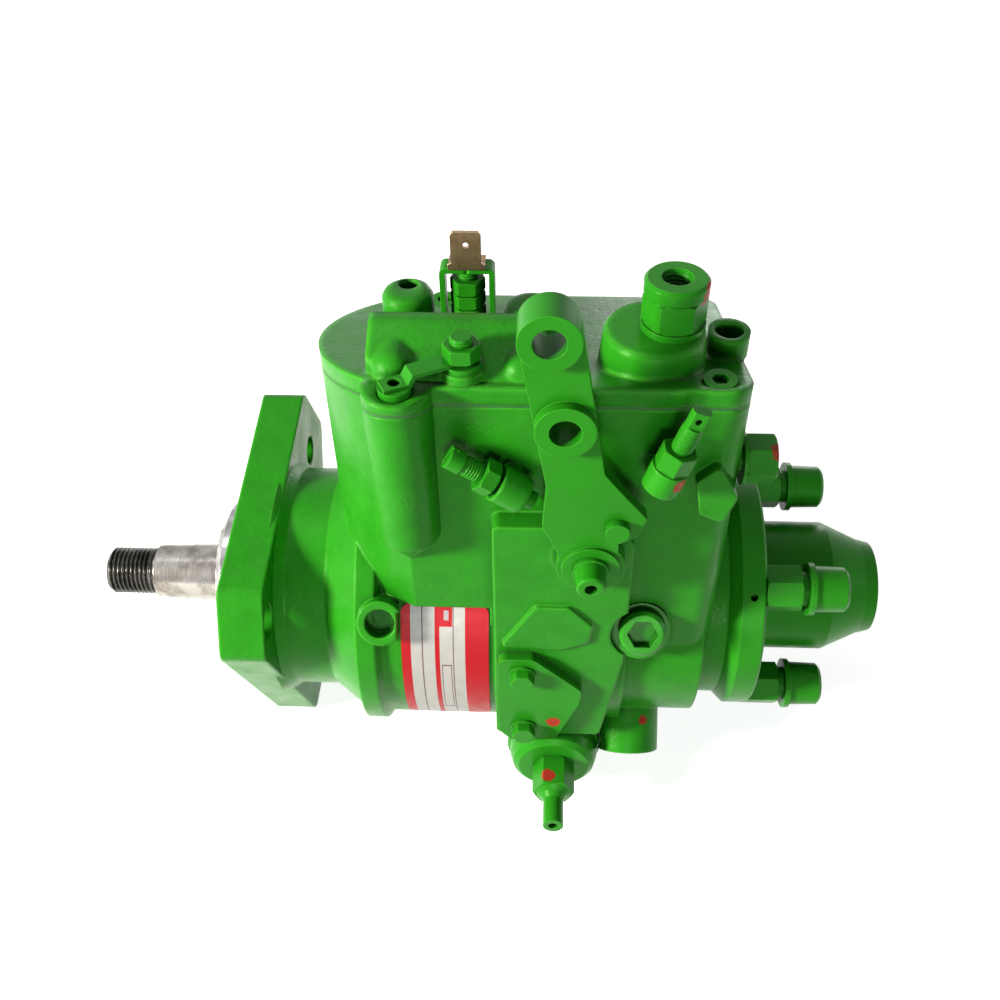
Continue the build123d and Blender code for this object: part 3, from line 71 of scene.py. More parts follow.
LOG = logging.getLogger("injection_pump")
MM = 0.001
FULL_TURN = 2 * math.pi
SAME_POINT = 1e-7
NEARLY_NOUGHT = 1e-6
Pair = tuple[float, float]
Triple = tuple[float, float, float]
Socket = bpy.types.NodeSocket


# Points and meshes


@dataclass(frozen=True)
class Axle:
    """A line in space, in millimetres, that turned shapes are built round."""

    foot: Triple
    way: Triple

    def basis(self) -> np.ndarray:
        """Unit vectors of the line.

        Returns:
            Rows: the side, the cross and the axial vectors.
        """
        way = np.array(self.way, float)
        way /= np.linalg.norm(way)
        helper = np.array((0.0, 0.0, 1.0)) if abs(way[2]) < 0.9 else np.array((1.0, 0.0, 0.0))
        side = np.cross(helper, way)
        side /= np.linalg.norm(side)
        return np.array((side, np.cross(way, side), way))

    def place(self, side: np.ndarray, cross: np.ndarray, along: np.ndarray) -> np.ndarray:
        """Points of the line's own coordinates in the pump's frame.

        Args:
            side: distances along the side vector, in mm.
            cross: distances along the cross vector, in mm.
            along: distances along the axis, in mm.

        Returns:
            An array with a last axis of three, in metres.
        """
        local = np.stack(np.broadcast_arrays(side, cross, along), axis=-1)
        return (local @ self.basis() + np.array(self.foot)) * MM

    def ring(self, radius: np.ndarray, angle: np.ndarray, along: np.ndarray) -> np.ndarray:
        """Points at a radius and an angle round the line (radius x cosine, radius x sine, along)."""
        return self.place(radius * np.cos(angle), radius * np.sin(angle), along)


SHAFT_AXLE = Axle((0, 0, 0), (1, 0, 0))
UPWARDS = (0, 0, 1)


def grid_quads(rows: int, columns: int, wrap_rows: bool, wrap_columns: bool) -> np.ndarray:
    """Corner numbers of the quads between neighbouring points of a grid.

    Args:
        rows: number of rows.
        columns: number of points in a row.
        wrap_rows: whether the last row joins the first.
        wrap_columns: whether each row's last point joins its first.

    Returns:
        An array of four point numbers per quad.
    """
    row = np.arange(rows if wrap_rows else rows - 1)[:, None]
    column = np.arange(columns if wrap_columns else columns - 1)[None, :]
    next_row, next_column = (row + 1) % rows, (column + 1) % columns
    corners = (
        row * columns + column,
        row * columns + next_column,
        next_row * columns + next_column,
        next_row * columns + column,
    )
    return np.stack(np.broadcast_arrays(*corners), axis=-1).reshape(-1, 4)


def skin(
    name: str, points: np.ndarray, wrap_rows: bool, wrap_columns: bool, crease: float = 35.0
) -> bpy.types.Object:
    """A mesh object of the quads between a grid's points, with doubles merged and faces outwards.

    Args:
        name: name of the object.
        points: grid of points (rows, columns, 3), in metres.
        wrap_rows: whether the last row joins the first.
        wrap_columns: whether each row's last point joins its first.
        crease: angle in degrees past which an edge is shaded sharp.

    Returns:
        The new object, linked to the scene.
    """
    rows, columns = points.shape[:2]
    quads = grid_quads(rows, columns, wrap_rows, wrap_columns)
    mesh = bpy.data.meshes.new(name)
    mesh.from_pydata(points.reshape(-1, 3), [], quads)
    shell = bmesh.new()
    shell.from_mesh(mesh)
    bmesh.ops.remove_doubles(shell, verts=shell.verts, dist=SAME_POINT)
    bmesh.ops.recalc_face_normals(shell, faces=shell.faces)
    shell.to_mesh(mesh)
    shell.free()
    mesh.polygons.foreach_set("use_smooth", np.ones(len(mesh.polygons), bool))
    mesh.set_sharp_from_angle(angle=math.radians(crease))
    piece = bpy.data.objects.new(name, mesh)
    bpy.context.scene.collection.objects.link(piece)
    return piece


def settle(piece: bpy.types.Object, body: str, finish: bpy.types.Material) -> bpy.types.Object:
    """Gives a piece its finish and its body, and logs it.

    Args:
        piece: the mesh object.
        body: name of the body it rides on.
        finish: its material.

    Returns:
        The same object.
    """
    piece.data.materials.clear()
    piece.data.materials.append(finish)
    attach(piece, body)
    LOG.info("%s rides on %s", piece.name, body)
    return piece


def trapezium(height: np.ndarray, angle: np.ndarray, pitch: float, slope: float, level: float) -> np.ndarray:
    """Height of a thread's flank, from nought to one.

    A triangle wave with one period per pitch and per turn, times the slope plus the level, cut off at both
    ends.

    Args:
        height: places along the axle.
        angle: angles round it.
        pitch: height of one turn.
        slope: how steep the flank is; below nought the wave stands on its head.
        level: how high the middle lies.

    Returns:
        The flank's height at each place and angle.
    """
    phase = (height / pitch - angle / FULL_TURN) % 1.0
    return np.clip(slope * np.abs(2 * phase - 1) + level, 0, 1)


@dataclass(frozen=True)
class Fit:
    """How a thread's sleeve lies on plain metal, in mm.

    Its root and its crest are counted from the plain radius, and its plain back from the root.
    """

    root: float
    crest: float
    back: float


ON_SCREW = Fit(root=-0.03, crest=0.3, back=-0.4)
IN_HOLE = Fit(root=-0.02, crest=-0.42, back=0.15)


@dataclass(frozen=True)
class Thread:
    """A screw thread as a closed sleeve round an axle, sizes in mm.

    The radius at height h and angle a is root + (crest - root) x trapezium(h, a), brought down to the root
    over the first and the last part of a turn (run_out).
    """

    axle: Axle
    start: float
    length: float
    radius: float
    pitch: float
    fit: Fit
    slope: float = 1.5
    level: float = -0.25
    run_out: float = 0.8
    around: int = 48
    rings_per_pitch: int = 8

    def points(self) -> np.ndarray:
        """The sleeve's skin.

        Returns:
            A grid of points, out along the thread and back along its plain side, in metres.
        """
        rings = int(self.length / self.pitch * self.rings_per_pitch)
        height = np.linspace(0, self.length, rings)[:, None]
        angle = np.linspace(0, FULL_TURN, self.around, endpoint=False)[None, :]
        flank = trapezium(height, angle, self.pitch, self.slope, self.level)
        fade = np.clip(np.minimum(height, self.length - height) / (self.run_out * self.pitch), 0, 1)
        root, crest = self.radius + self.fit.root, self.radius + self.fit.crest
        outer = self.axle.ring(root + (crest - root) * flank * fade, angle, self.start + height)
        plain_height = self.start + np.array((self.length, 0.0))[:, None]
        plain = self.axle.ring(np.full((2, self.around), root + self.fit.back), angle, plain_height)
        return np.concatenate((outer, plain))

    def build(self, name: str) -> bpy.types.Object:
        """The thread as a mesh object."""
        return skin(name, self.points(), wrap_rows=True, wrap_columns=True, crease=50)


# Node groups and finishes


@dataclass
class Graph:
    """A node tree with short calls to add nodes and to join them."""

    tree: bpy.types.NodeTree

    def add(self, kind: str, inputs: dict | None = None, **settings: object) -> bpy.types.Node:
        """Adds a node.

        Args:
            kind: the node's type name without its ShaderNode prefix.
            inputs: sockets by name or number, each with a value or with a socket to join.
            settings: the node's own properties.

        Returns:
            The new node.
        """
        node = self.tree.nodes.new("ShaderNode" + kind)
        for key, value in settings.items():
            setattr(node, key, value)
        for key, value in (inputs or {}).items():
            if isinstance(value, Socket):
                self.tree.links.new(value, node.inputs[key])
            else:
                node.inputs[key].default_value = value
        return node

    def math(self, operation: str, *values: Socket | float) -> Socket:
        """Result of a Math node on numbers or sockets."""
        return self.add("Math", dict(enumerate(values)), operation=operation).outputs[0]

    def blend(self, amount: Socket, first: Socket | tuple, second: Socket | tuple) -> Socket:
        """Colour between two colours by an amount."""
        return self.add("Mix", {0: amount, 6: first, 7: second}, data_type="RGBA").outputs[2]

    def spread(
        self, value: Socket, low: float, high: float, to_low: float = 0.0, to_high: float = 1.0
    ) -> Socket:
        """Value brought from one range to another, kept inside it."""
        inputs = {0: value, 1: low, 2: high, 3: to_low, 4: to_high}
        return self.add("MapRange", inputs, clamp=True).outputs[0]

    def place(self, stretch: Triple = (1, 1, 1)) -> Socket:
        """Object coordinates, stretched."""
        return self.add("Mapping", {0: self.add("TexCoord").outputs["Object"], 3: stretch}).outputs[0]

    def noise(self, where: Socket, scale: Socket | float, detail: float = 3.0, rough: float = 0.55) -> Socket:
        """Value of a Noise texture."""
        inputs = {"Vector": where, "Scale": scale, "Detail": detail, "Roughness": rough}
        return self.add("TexNoise", inputs).outputs[0]

    def give(self, node: bpy.types.Node, **sockets: Socket) -> None:
        """Joins sockets to a node's inputs; an underscore in a name stands for a space."""
        for label, socket in sockets.items():
            self.tree.links.new(socket, node.inputs[label.replace("_", " ")])


def new_group(name: str, inputs: tuple, outputs: tuple) -> tuple[bpy.types.NodeTree, Graph, bpy.types.Node]:
    """A node group with its sockets.

    Args:
        name: name of the group.
        inputs: (name, kind, default) of each input, kind being Float, Color or Vector.
        outputs: (name, kind) of each output.

    Returns:
        The tree, its graph and its input node.
    """
    tree = bpy.data.node_groups.new(name, "ShaderNodeTree")
    for label, kind, default in inputs:
        socket = tree.interface.new_socket(label, in_out="INPUT", socket_type="NodeSocket" + kind)
        socket.default_value = default
    for label, kind in outputs:
        tree.interface.new_socket(label, in_out="OUTPUT", socket_type="NodeSocket" + kind)
    return tree, Graph(tree), tree.nodes.new("NodeGroupInput")


def close_group(tree: bpy.types.NodeTree, results: dict[str, Socket]) -> bpy.types.NodeTree:
    """Joins a group's results to its output node.

    Args:
        tree: the group's tree.
        results: sockets by the names of the group's outputs.

    Returns:
        The same tree.
    """
    end = tree.nodes.new("NodeGroupOutput")
    for label, socket in results.items():
        tree.links.new(socket, end.inputs[label])
    return tree


def edge_group() -> bpy.types.NodeTree:
    """Rounded normal of every edge, and a mask of where the edges are.

    Returns:
        The group.
    """
    inputs = (("Radius", "Float", 0.0006),)
    tree, graph, start = new_group("soft_edges", inputs, (("Normal", "Vector"), ("Edge", "Float")))
    bevel = graph.add("Bevel", {0: start.outputs["Radius"]}, samples=6)
    plain = graph.add("NewGeometry").outputs["True Normal"]
    together = graph.add("VectorMath", {0: bevel.outputs[0], 1: plain}, operation="DOT_PRODUCT")
    edge = graph.spread(together.outputs["Value"], low=0.99, high=0.8)
    return close_group(tree, {"Normal": bevel.outputs[0], "Edge": edge})


def cast_group() -> bpy.types.NodeTree:
    """Height of a sand-cast skin under paint: soft waves, grains and a few pits.

    Returns:
        The group.
    """
    wave_scale, pit_scale, grain_height = 0.16, 0.5, 0.5
    inputs = (("Grain size", "Float", 0.0014), ("Pits", "Float", 0.3))
    tree, graph, start = new_group("cast_skin", inputs, (("Height", "Float"), ("Mottle", "Float")))
    where = graph.place()
    scale = graph.math("DIVIDE", 1.0, start.outputs["Grain size"])
    grains = graph.noise(where, scale, detail=2.0)
    waves = graph.noise(where, graph.math("MULTIPLY", scale, wave_scale), detail=3.0)
    hollows = graph.noise(where, graph.math("MULTIPLY", scale, pit_scale), detail=1.0)
    pits = graph.spread(hollows, low=0.30, high=0.42)
    height = graph.math("ADD", graph.math("MULTIPLY", grains, grain_height), waves)
    height = graph.math("ADD", height, graph.math("MULTIPLY", pits, start.outputs["Pits"]))
    return close_group(tree, {"Height": height, "Mottle": waves})


def dab_group() -> bpy.types.NodeTree:
    """Mask of a brushed dab of paint: near a place, with a wandering edge.

    Returns:
        The group.
    """
    wander_scale, wander_reach = 700.0, 0.0022
    inputs = (("Place", "Vector", (0, 0, 0)), ("Radius", "Float", 0.002))
    tree, graph, start = new_group("paint_dab", inputs, (("Mask", "Float"),))
    where = graph.place()
    far = graph.add("VectorMath", {0: where, 1: start.outputs["Place"]}, operation="DISTANCE")
    sway = graph.math("SUBTRACT", graph.noise(where, wander_scale), 0.5)
    ragged = graph.math("MULTIPLY", sway, wander_reach)
    share = graph.math("DIVIDE", graph.math("ADD", far.outputs["Value"], ragged), start.outputs["Radius"])
    return close_group(tree, {"Mask": graph.spread(share, low=1.05, high=0.92)})


def crevice_shade_group() -> bpy.types.NodeTree:
    """Mask of painted shade in corners that other faces close in on, taken from ambient occlusion.

    Returns:
        The group.
    """
    tree, graph, start = new_group("painted_crevice_shade", (("Reach", "Float", 0.004),), (("Mask", "Float"),))
    shelter = graph.add("AmbientOcclusion", {"Distance": start.outputs["Reach"]}, samples=6)
    return close_group(tree, {"Mask": graph.spread(shelter.outputs["AO"], low=0.85, high=0.25)})


def window_group() -> bpy.types.NodeTree:
    """Mask of an oblong between two shares across and two shares up.

    Returns:
        The group.
    """
    inputs = tuple((label, "Float", 0.0) for label in ("Across", "Up", "Left", "Right", "Low", "High"))
    tree, graph, start = new_group("oblong_window", inputs, (("Mask", "Float"),))
    ends = start.outputs
    tests = (
        ("Across", "Left", "GREATER_THAN"),
        ("Across", "Right", "LESS_THAN"),
        ("Up", "Low", "GREATER_THAN"),
        ("Up", "High", "LESS_THAN"),
    )
    mask = 1.0
    for value, edge, test in tests:
        mask = graph.math("MULTIPLY", mask, graph.math(test, ends[value], ends[edge]))
    return close_group(tree, {"Mask": mask})


def dust_group() -> bpy.types.NodeTree:
    """Mask of dust that lies thinly where a surface looks up.

    Returns:
        The group.
    """
    tree, graph, start = new_group("settled_dust", (("Amount", "Float", 0.2),), (("Mask", "Float"),))
    up = graph.add("SeparateXYZ", {0: graph.add("NewGeometry").outputs["Normal"]}).outputs[2]
    lying = graph.spread(up, low=0.2, high=1.0)
    patchy = graph.spread(graph.noise(graph.place(), scale=160.0, detail=4.0), low=0.45, high=0.75)
    settled = graph.math("MULTIPLY", lying, patchy)
    return close_group(tree, {"Mask": graph.math("MULTIPLY", settled, start.outputs["Amount"])})


class Effects:
    """The shader groups that finishes share, built once."""

    def __init__(self) -> None:
        """Builds every group."""
        self.edges = edge_group()
        self.cast = cast_group()
        self.dab = dab_group()
        self.dust = dust_group()
        self.window = window_group()
        self.crevice_shade = crevice_shade_group()


def use(graph: Graph, group: bpy.types.NodeTree, **values: object) -> bpy.types.Node:
    """Places a group in a material with its own values.

    Args:
        graph: the material's graph.
        group: the group.
        values: input values by name, an underscore standing for a space.

    Returns:
        The group's node.
    """
    node = graph.add("Group", node_tree=group)
    for label, value in values.items():
        node.inputs[label.replace("_", " ")].default_value = value
    return node


def new_material(name: str) -> tuple[bpy.types.Material, Graph, bpy.types.Node]:
    """An empty node material.

    Args:
        name: name of the material.

    Returns:
        The material, its graph and its Principled shader.
    """
    material = bpy.data.materials.new(name)
    material.use_nodes = True
    shader = next(n for n in material.node_tree.nodes if n.type == "BSDF_PRINCIPLED")
    return material, Graph(material.node_tree), shader


def coat(graph: Graph, shader: bpy.types.Node, colour: Socket, rough: Socket, bump: dict) -> None:
    """Joins a colour, a roughness and a bump to a shader.

    Args:
        graph: the material's graph.
        shader: its Principled shader.
        colour: socket of the colour.
        rough: socket of the roughness.
        bump: inputs of the Bump node.
    """
    graph.give(shader, Base_Color=colour, Roughness=rough, Normal=graph.add("Bump", bump).outputs[0])


def seen_directly(graph: Graph) -> Socket:
    """Tells what is looked at from what only lights other things.

    Args:
        graph: the graph of a material or of the world.

    Returns:
        One for rays of the camera and for rays that metal or glass sends on, nought for scattered light.
    """
    paths = graph.add("LightPath").outputs
    mirrored = graph.math("MAXIMUM", paths["Is Glossy Ray"], paths["Is Transmission Ray"])
    return graph.math("MAXIMUM", paths["Is Camera Ray"], mirrored)


# Radii of worn edges and depth of a shallow bump, in metres

SMALL_EDGE = 0.0003
FOIL_EDGE = 0.0002
SHALLOW = 0.0002


class Surface(Enum):
    """How the metal under a coat of paint was made."""

    SAND_CAST = "sand_cast"
    MACHINED = "machined"
    PRESSED = "pressed"


@dataclass(frozen=True)
class Relief:
    """Relief under a coat of paint: grain size and bump depth in metres, pits and bump strength as shares."""

    grain: float
    pits: float
    strength: float
    depth: float


RELIEFS = {
    Surface.SAND_CAST: Relief(grain=0.0013, pits=0.35, strength=0.20, depth=0.0005),
    Surface.MACHINED: Relief(grain=0.0030, pits=0.0, strength=0.08, depth=0.0003),
    Surface.PRESSED: Relief(grain=0.0045, pits=0.0, strength=0.08, depth=0.0003),
}


@dataclass(frozen=True)
class Dab:
    """A marking dab: its place and radius in mm."""

    place: Triple
    radius: float


@dataclass(frozen=True)
class PumpPaint:
    """Thick glossy green paint over a cast, machined or pressed surface.

    The edges' radius (soft) and the reach of the painted shade in crevices are in mm; the edge lightening
    (thinned paint and painted highlight), the painted crevice shade and the dust are given as shares of their
    masks.
    """

    name: str
    surface: Surface
    deep: Triple = (0.002, 0.070, 0.002)
    shade: Triple = (0.022, 0.270, 0.010)
    # Edge colour, for paint thinned on edges and for a painted highlight:
    thin_paint_and_highlight: Triple = (0.080, 0.540, 0.034)
    dust: Triple = (0.16, 0.40, 0.12)
    marking: Triple = (0.42, 0.035, 0.020)
    rough: float = 0.31
    soft: float = 0.35
    # Share of the edge lightening, partly thinned paint and partly painted highlight:
    thin_and_highlight_share: float = 0.55
    # Reach in mm and share of the painted shade in crevices:
    crevice_shade_reach: float = 8.0
    crevice_shade_share: float = 0.85
    dusty: float = 0.04
    dabs: tuple[Dab, ...] = ()

    def build(self, effects: Effects) -> bpy.types.Material:
        """The paint as a material.

        Args:
            effects: the shared node groups.

        Returns:
            The new material.
        """
        material, graph, shader = new_material(self.name)
        relief = RELIEFS[self.surface]
        cast = use(graph, effects.cast, Grain_size=relief.grain, Pits=relief.pits)
        edges = use(graph, effects.edges, Radius=self.soft * MM)
        dust = use(graph, effects.dust, Amount=self.dusty)
        crevice_shade = use(graph, effects.crevice_shade, Reach=self.crevice_shade_reach * MM)
        pooled = graph.spread(cast.outputs["Mottle"], low=0.35, high=0.70, to_low=0.8, to_high=1.0)
        colour = graph.blend(pooled, (*self.deep, 1), (*self.shade, 1))
        # Painted shade: crevices and corners darkened toward the deep green by ambient occlusion.
        painted_shade = graph.math("MULTIPLY", crevice_shade.outputs["Mask"], self.crevice_shade_share)
        colour = graph.blend(painted_shade, colour, (*self.deep, 1))
        # Edges lightened and yellowed: partly paint thinned on edges, partly a painted highlight.
        thinned_and_lit = graph.math("MULTIPLY", edges.outputs["Edge"], self.thin_and_highlight_share)
        colour = graph.blend(thinned_and_lit, colour, (*self.thin_paint_and_highlight, 1))
        colour = graph.blend(dust.outputs["Mask"], colour, (*self.dust, 1))
        for dab in self.dabs:
            spot = use(graph, effects.dab, Place=tuple(c * MM for c in dab.place), Radius=dab.radius * MM)
            colour = graph.blend(spot.outputs["Mask"], colour, (*self.marking, 1))
        clouds = graph.noise(graph.place(), scale=90.0, detail=4.0)
        rough = graph.spread(clouds, low=0.3, high=0.7, to_low=self.rough - 0.06, to_high=self.rough + 0.10)
        rough = graph.math("ADD", rough, graph.math("MULTIPLY", dust.outputs["Mask"], 0.3))
        bump = {
            "Strength": relief.strength,
            "Distance": relief.depth,
            "Height": cast.outputs["Height"],
            "Normal": edges.outputs["Normal"],
        }
        coat(graph, shader, colour, rough, bump)
        shader.inputs["Specular IOR Level"].default_value = 0.18
        shader.inputs["Specular Tint"].default_value = (0.6, 1.0, 0.5, 1)
        return material


@dataclass(frozen=True)
class TurnedMetal:
    """Bare metal with the fine rings that a lathe leaves round the shaft's axis.

    Where oiled_to is given, the metal is black with oil up to that place on the axis, in mm.
    """

    name: str
    bright: Triple
    dull: Triple
    rough: float
    rings: float = 2600.0
    streaks: float = 25.0
    rubbed: Triple = (0.72, 0.72, 0.70)
    oil_dark: Triple = (0.045, 0.043, 0.040)
    oil_pale: Triple = (0.11, 0.105, 0.10)
    oil_fade: float = 0.6
    oiled_to: float | None = None

    def build(self, effects: Effects) -> bpy.types.Material:
        """The metal as a material.

        Args:
            effects: the shared node groups.

        Returns:
            The new material.
        """
        material, graph, shader = new_material(self.name)
        edges = use(graph, effects.edges, Radius=SMALL_EDGE)
        rings = graph.noise(graph.place(stretch=(self.rings, self.streaks, self.streaks)), scale=1.0)
        stain = graph.noise(graph.place(), scale=120.0, detail=5.0, rough=0.65)
        colour = graph.blend(graph.spread(stain, low=0.42, high=0.68), (*self.bright, 1), (*self.dull, 1))
        shine = graph.math("MULTIPLY", edges.outputs["Edge"], 0.3)
        colour = graph.blend(shine, colour, (*self.rubbed, 1))
        if self.oiled_to is not None:
            along = graph.add("SeparateXYZ", {0: graph.place()}).outputs[0]
            oiled = graph.spread(along, self.oiled_to * MM, (self.oiled_to - self.oil_fade) * MM)
            smeared = graph.spread(stain, low=0.4, high=0.7)
            oil = graph.blend(smeared, (*self.oil_dark, 1), (*self.oil_pale, 1))
            colour = graph.blend(oiled, colour, oil)
        ringed = graph.spread(rings, low=0.3, high=0.7, to_low=self.rough - 0.07, to_high=self.rough + 0.07)
        stained = graph.spread(stain, low=0.5, high=0.8, to_high=0.15)
        bump = {"Strength": 0.16, "Distance": SHALLOW, "Height": rings, "Normal": edges.outputs["Normal"]}
        coat(graph, shader, colour, graph.math("ADD", ringed, stained), bump)
        shader.inputs["Metallic"].default_value = 1.0
        return material


@dataclass(frozen=True)
class PlainStuff:
    """Rubber, gasket sheet or moulded plastic: a dull body with fine grain."""

    name: str
    shade: Triple
    fleck: Triple
    rough: float
    grain: float = 1500.0

    def build(self, effects: Effects) -> bpy.types.Material:
        """The stuff as a material.

        Args:
            effects: the shared node groups.

        Returns:
            The new material.
        """
        material, graph, shader = new_material(self.name)
        edges = use(graph, effects.edges, Radius=SMALL_EDGE)
        grain = graph.noise(graph.place(), self.grain)
        colour = graph.blend(graph.spread(grain, low=0.45, high=0.7), (*self.shade, 1), (*self.fleck, 1))
        rough = graph.spread(grain, low=0.3, high=0.7, to_low=self.rough - 0.08, to_high=self.rough + 0.08)
        bump = {"Strength": 0.2, "Distance": SHALLOW, "Height": grain, "Normal": edges.outputs["Normal"]}
        coat(graph, shader, colour, rough, bump)
        return material


@dataclass(frozen=True)
class Patch:
    """A flat colour between shares of the plate's width and of its height."""

    shade: Triple
    across: Pair
    up: Pair = (-0.1, 1.1)


PLATE_ALONG = (55.0, 82.0)
PLATE_ROUND = (-28.0, 37.0)
SILVER = (0.46, 0.45, 0.44)
BAND_RED = (0.42, 0.002, 0.008)
BAND_GREY = (0.16, 0.10, 0.10)
BOX_GREY = (0.38, 0.33, 0.35)
FOIL_HAZE = (0.30, 0.31, 0.28)
FOIL_PATCHES = (
    Patch(BAND_RED, (-0.1, 0.11)),
    Patch(BAND_GREY, (0.235, 0.250)),
    Patch(BAND_RED, (0.385, 0.440)),
    Patch(BAND_RED, (0.385, 0.585), (0.86, 1.1)),
    Patch(BOX_GREY, (0.49, 0.545), (0.90, 0.96)),
    Patch(BAND_GREY, (0.460, 0.575), (0.15, 0.60)),
    Patch(SILVER, (0.470, 0.565), (0.16, 0.59)),
    Patch(BAND_GREY, (0.590, 0.602)),
    Patch(BAND_RED, (0.73, 1.1)),
)


@dataclass(frozen=True)
class LabelFoil:
    """Bare foil plate with plain patches of red and grey over silver, by place on the pump's round body.

    The plate's places along the axis are in mm, and its angles round the body in degrees.
    """

    name: str
    along: Pair = PLATE_ALONG
    round_body: Pair = PLATE_ROUND
    patches: tuple[Patch, ...] = FOIL_PATCHES

    def build(self, effects: Effects) -> bpy.types.Material:
        """The foil as a material.

        Args:
            effects: the shared node groups.

        Returns:
            The new material.
        """
        material, graph, shader = new_material(self.name)
        axes = graph.add("SeparateXYZ", {0: graph.place()}).outputs
        share = graph.spread(axes[0], self.along[0] * MM, self.along[1] * MM)
        turn = graph.math("ARCTAN2", axes[2], graph.math("MULTIPLY", axes[1], -1.0))
        height = graph.spread(turn, *(math.radians(angle) for angle in self.round_body))
        haze = graph.noise(graph.place(), scale=260.0, detail=4.0)
        clouded = graph.spread(haze, low=0.4, high=0.8, to_high=0.35)
        colour = graph.blend(clouded, (*SILVER, 1), (*FOIL_HAZE, 1))
        for patch in self.patches:
            sides = dict(zip(("Left", "Right", "Low", "High"), (*patch.across, *patch.up)))
            inside = use(graph, effects.window, **sides)
            graph.give(inside, Across=share, Up=height)
            colour = graph.blend(inside.outputs["Mask"], colour, (*patch.shade, 1))
        rough = graph.spread(haze, low=0.3, high=0.7, to_low=0.32, to_high=0.48)
        edges = use(graph, effects.edges, Radius=FOIL_EDGE)
        bump = {"Strength": 0.1, "Distance": SHALLOW, "Height": haze, "Normal": edges.outputs["Normal"]}
        coat(graph, shader, colour, rough, bump)
        shader.inputs["Metallic"].default_value = 0.15
        shader.inputs["Specular IOR Level"].default_value = 0.25
        return material


class Finishes:
    """Every finish of the pump, built once and found by name."""

    def __init__(self) -> None:
        """Builds the shared groups, then the materials."""
        effects = Effects()
        marked = (
            Dab((137.6, -22.3, 128.5), 3.3),
            Dab((132.0, -52.0, 91.5), 2.2),
            Dab((160.5, -33.0, 87.0), 2.6),
            Dab((101.1, -56.0, -34.0), 2.4),
            Dab((102.3, -50.3, -12.8), 2.3),
            Dab((132.7, -38.1, -27.1), 1.6),
        )
        chosen = (
            PumpPaint("paint_on_casting", Surface.SAND_CAST, soft=1.3, dabs=marked),
            PumpPaint("paint_on_cover", Surface.SAND_CAST, soft=2.8),
            PumpPaint("paint_on_turned_parts", Surface.MACHINED, dabs=marked),
            PumpPaint("paint_on_pressed_steel", Surface.PRESSED, dabs=marked),
            TurnedMetal("turned_shaft_steel", (0.42, 0.40, 0.37), (0.15, 0.13, 0.11), 0.24, oiled_to=-35.5),
            TurnedMetal("ground_pilot_ring", (0.52, 0.52, 0.52), (0.20, 0.20, 0.20), 0.15, rings=5200),
            TurnedMetal("inner_ground_steel", (0.45, 0.45, 0.44), (0.30, 0.30, 0.29), 0.30),
            TurnedMetal("sintered_iron", (0.20, 0.20, 0.19), (0.12, 0.11, 0.10), 0.55),
            TurnedMetal("bearing_bronze", (0.52, 0.33, 0.15), (0.35, 0.22, 0.10), 0.34),
            TurnedMetal("tarnished_spade", (0.38, 0.25, 0.14), (0.17, 0.10, 0.05), 0.42),
            PlainStuff("seal_rubber", (0.012, 0.012, 0.012), (0.03, 0.03, 0.03), 0.62),
            PlainStuff("painted_gasket", (0.004, 0.085, 0.004), (0.010, 0.18, 0.010), 0.6),
            PlainStuff("moulded_insulator", (0.020, 0.018, 0.016), (0.05, 0.045, 0.04), 0.45),
            LabelFoil("banded_foil"),
        )
        self.by_name = {finish.name: finish.build(effects) for finish in chosen}

    def __getitem__(self, name: str) -> bpy.types.Material:
        """The material with that name."""
        return self.by_name[name]


# Sub-assemblies

PAINTED = "paint_on_turned_parts"
STEEL = "inner_ground_steel"
NODE_FINISH = {
    "pump_housing": "paint_on_casting",
    "governor_cover": "paint_on_cover",
    "pilot_tube": "ground_pilot_ring",
    "shaft_bush": "bearing_bronze",
    "shaft_seals": "seal_rubber",
    "head_seal_rings": "seal_rubber",
    "cover_gasket": "painted_gasket",
    "timing_gasket": "painted_gasket",
    "spade_terminal": "tarnished_spade",
    "terminal_insulators": PAINTED,
    "shutoff_coil": "moulded_insulator",
    "pump_end_plate": "sintered_iron",
    "timing_cover": "paint_on_pressed_steel",
    "terminal_bracket": "paint_on_pressed_steel",
    "ground_strap": "paint_on_pressed_steel",
    "throttle_lever": "paint_on_pressed_steel",
}


@dataclass
class CarriedNodes:
    """The CAD nodes that keep their own shape and get a detailed finish."""

    finishes: Finishes

    def dress(self) -> None:
        """Assigns each node's finish, by its own name or by whether the record has it painted."""
        slots = {entry["node"]: entry["material_slot"] for entry in frame["record"]["subparts"]}
        for name, node in frame["nodes"].items():
            finish = NODE_FINISH.get(name, PAINTED if slots[name] == "green_paint" else STEEL)
            node.data.materials.clear()
            node.data.materials.append(self.finishes[finish])
            LOG.info("%s keeps its solid, finished as %s", name, finish)


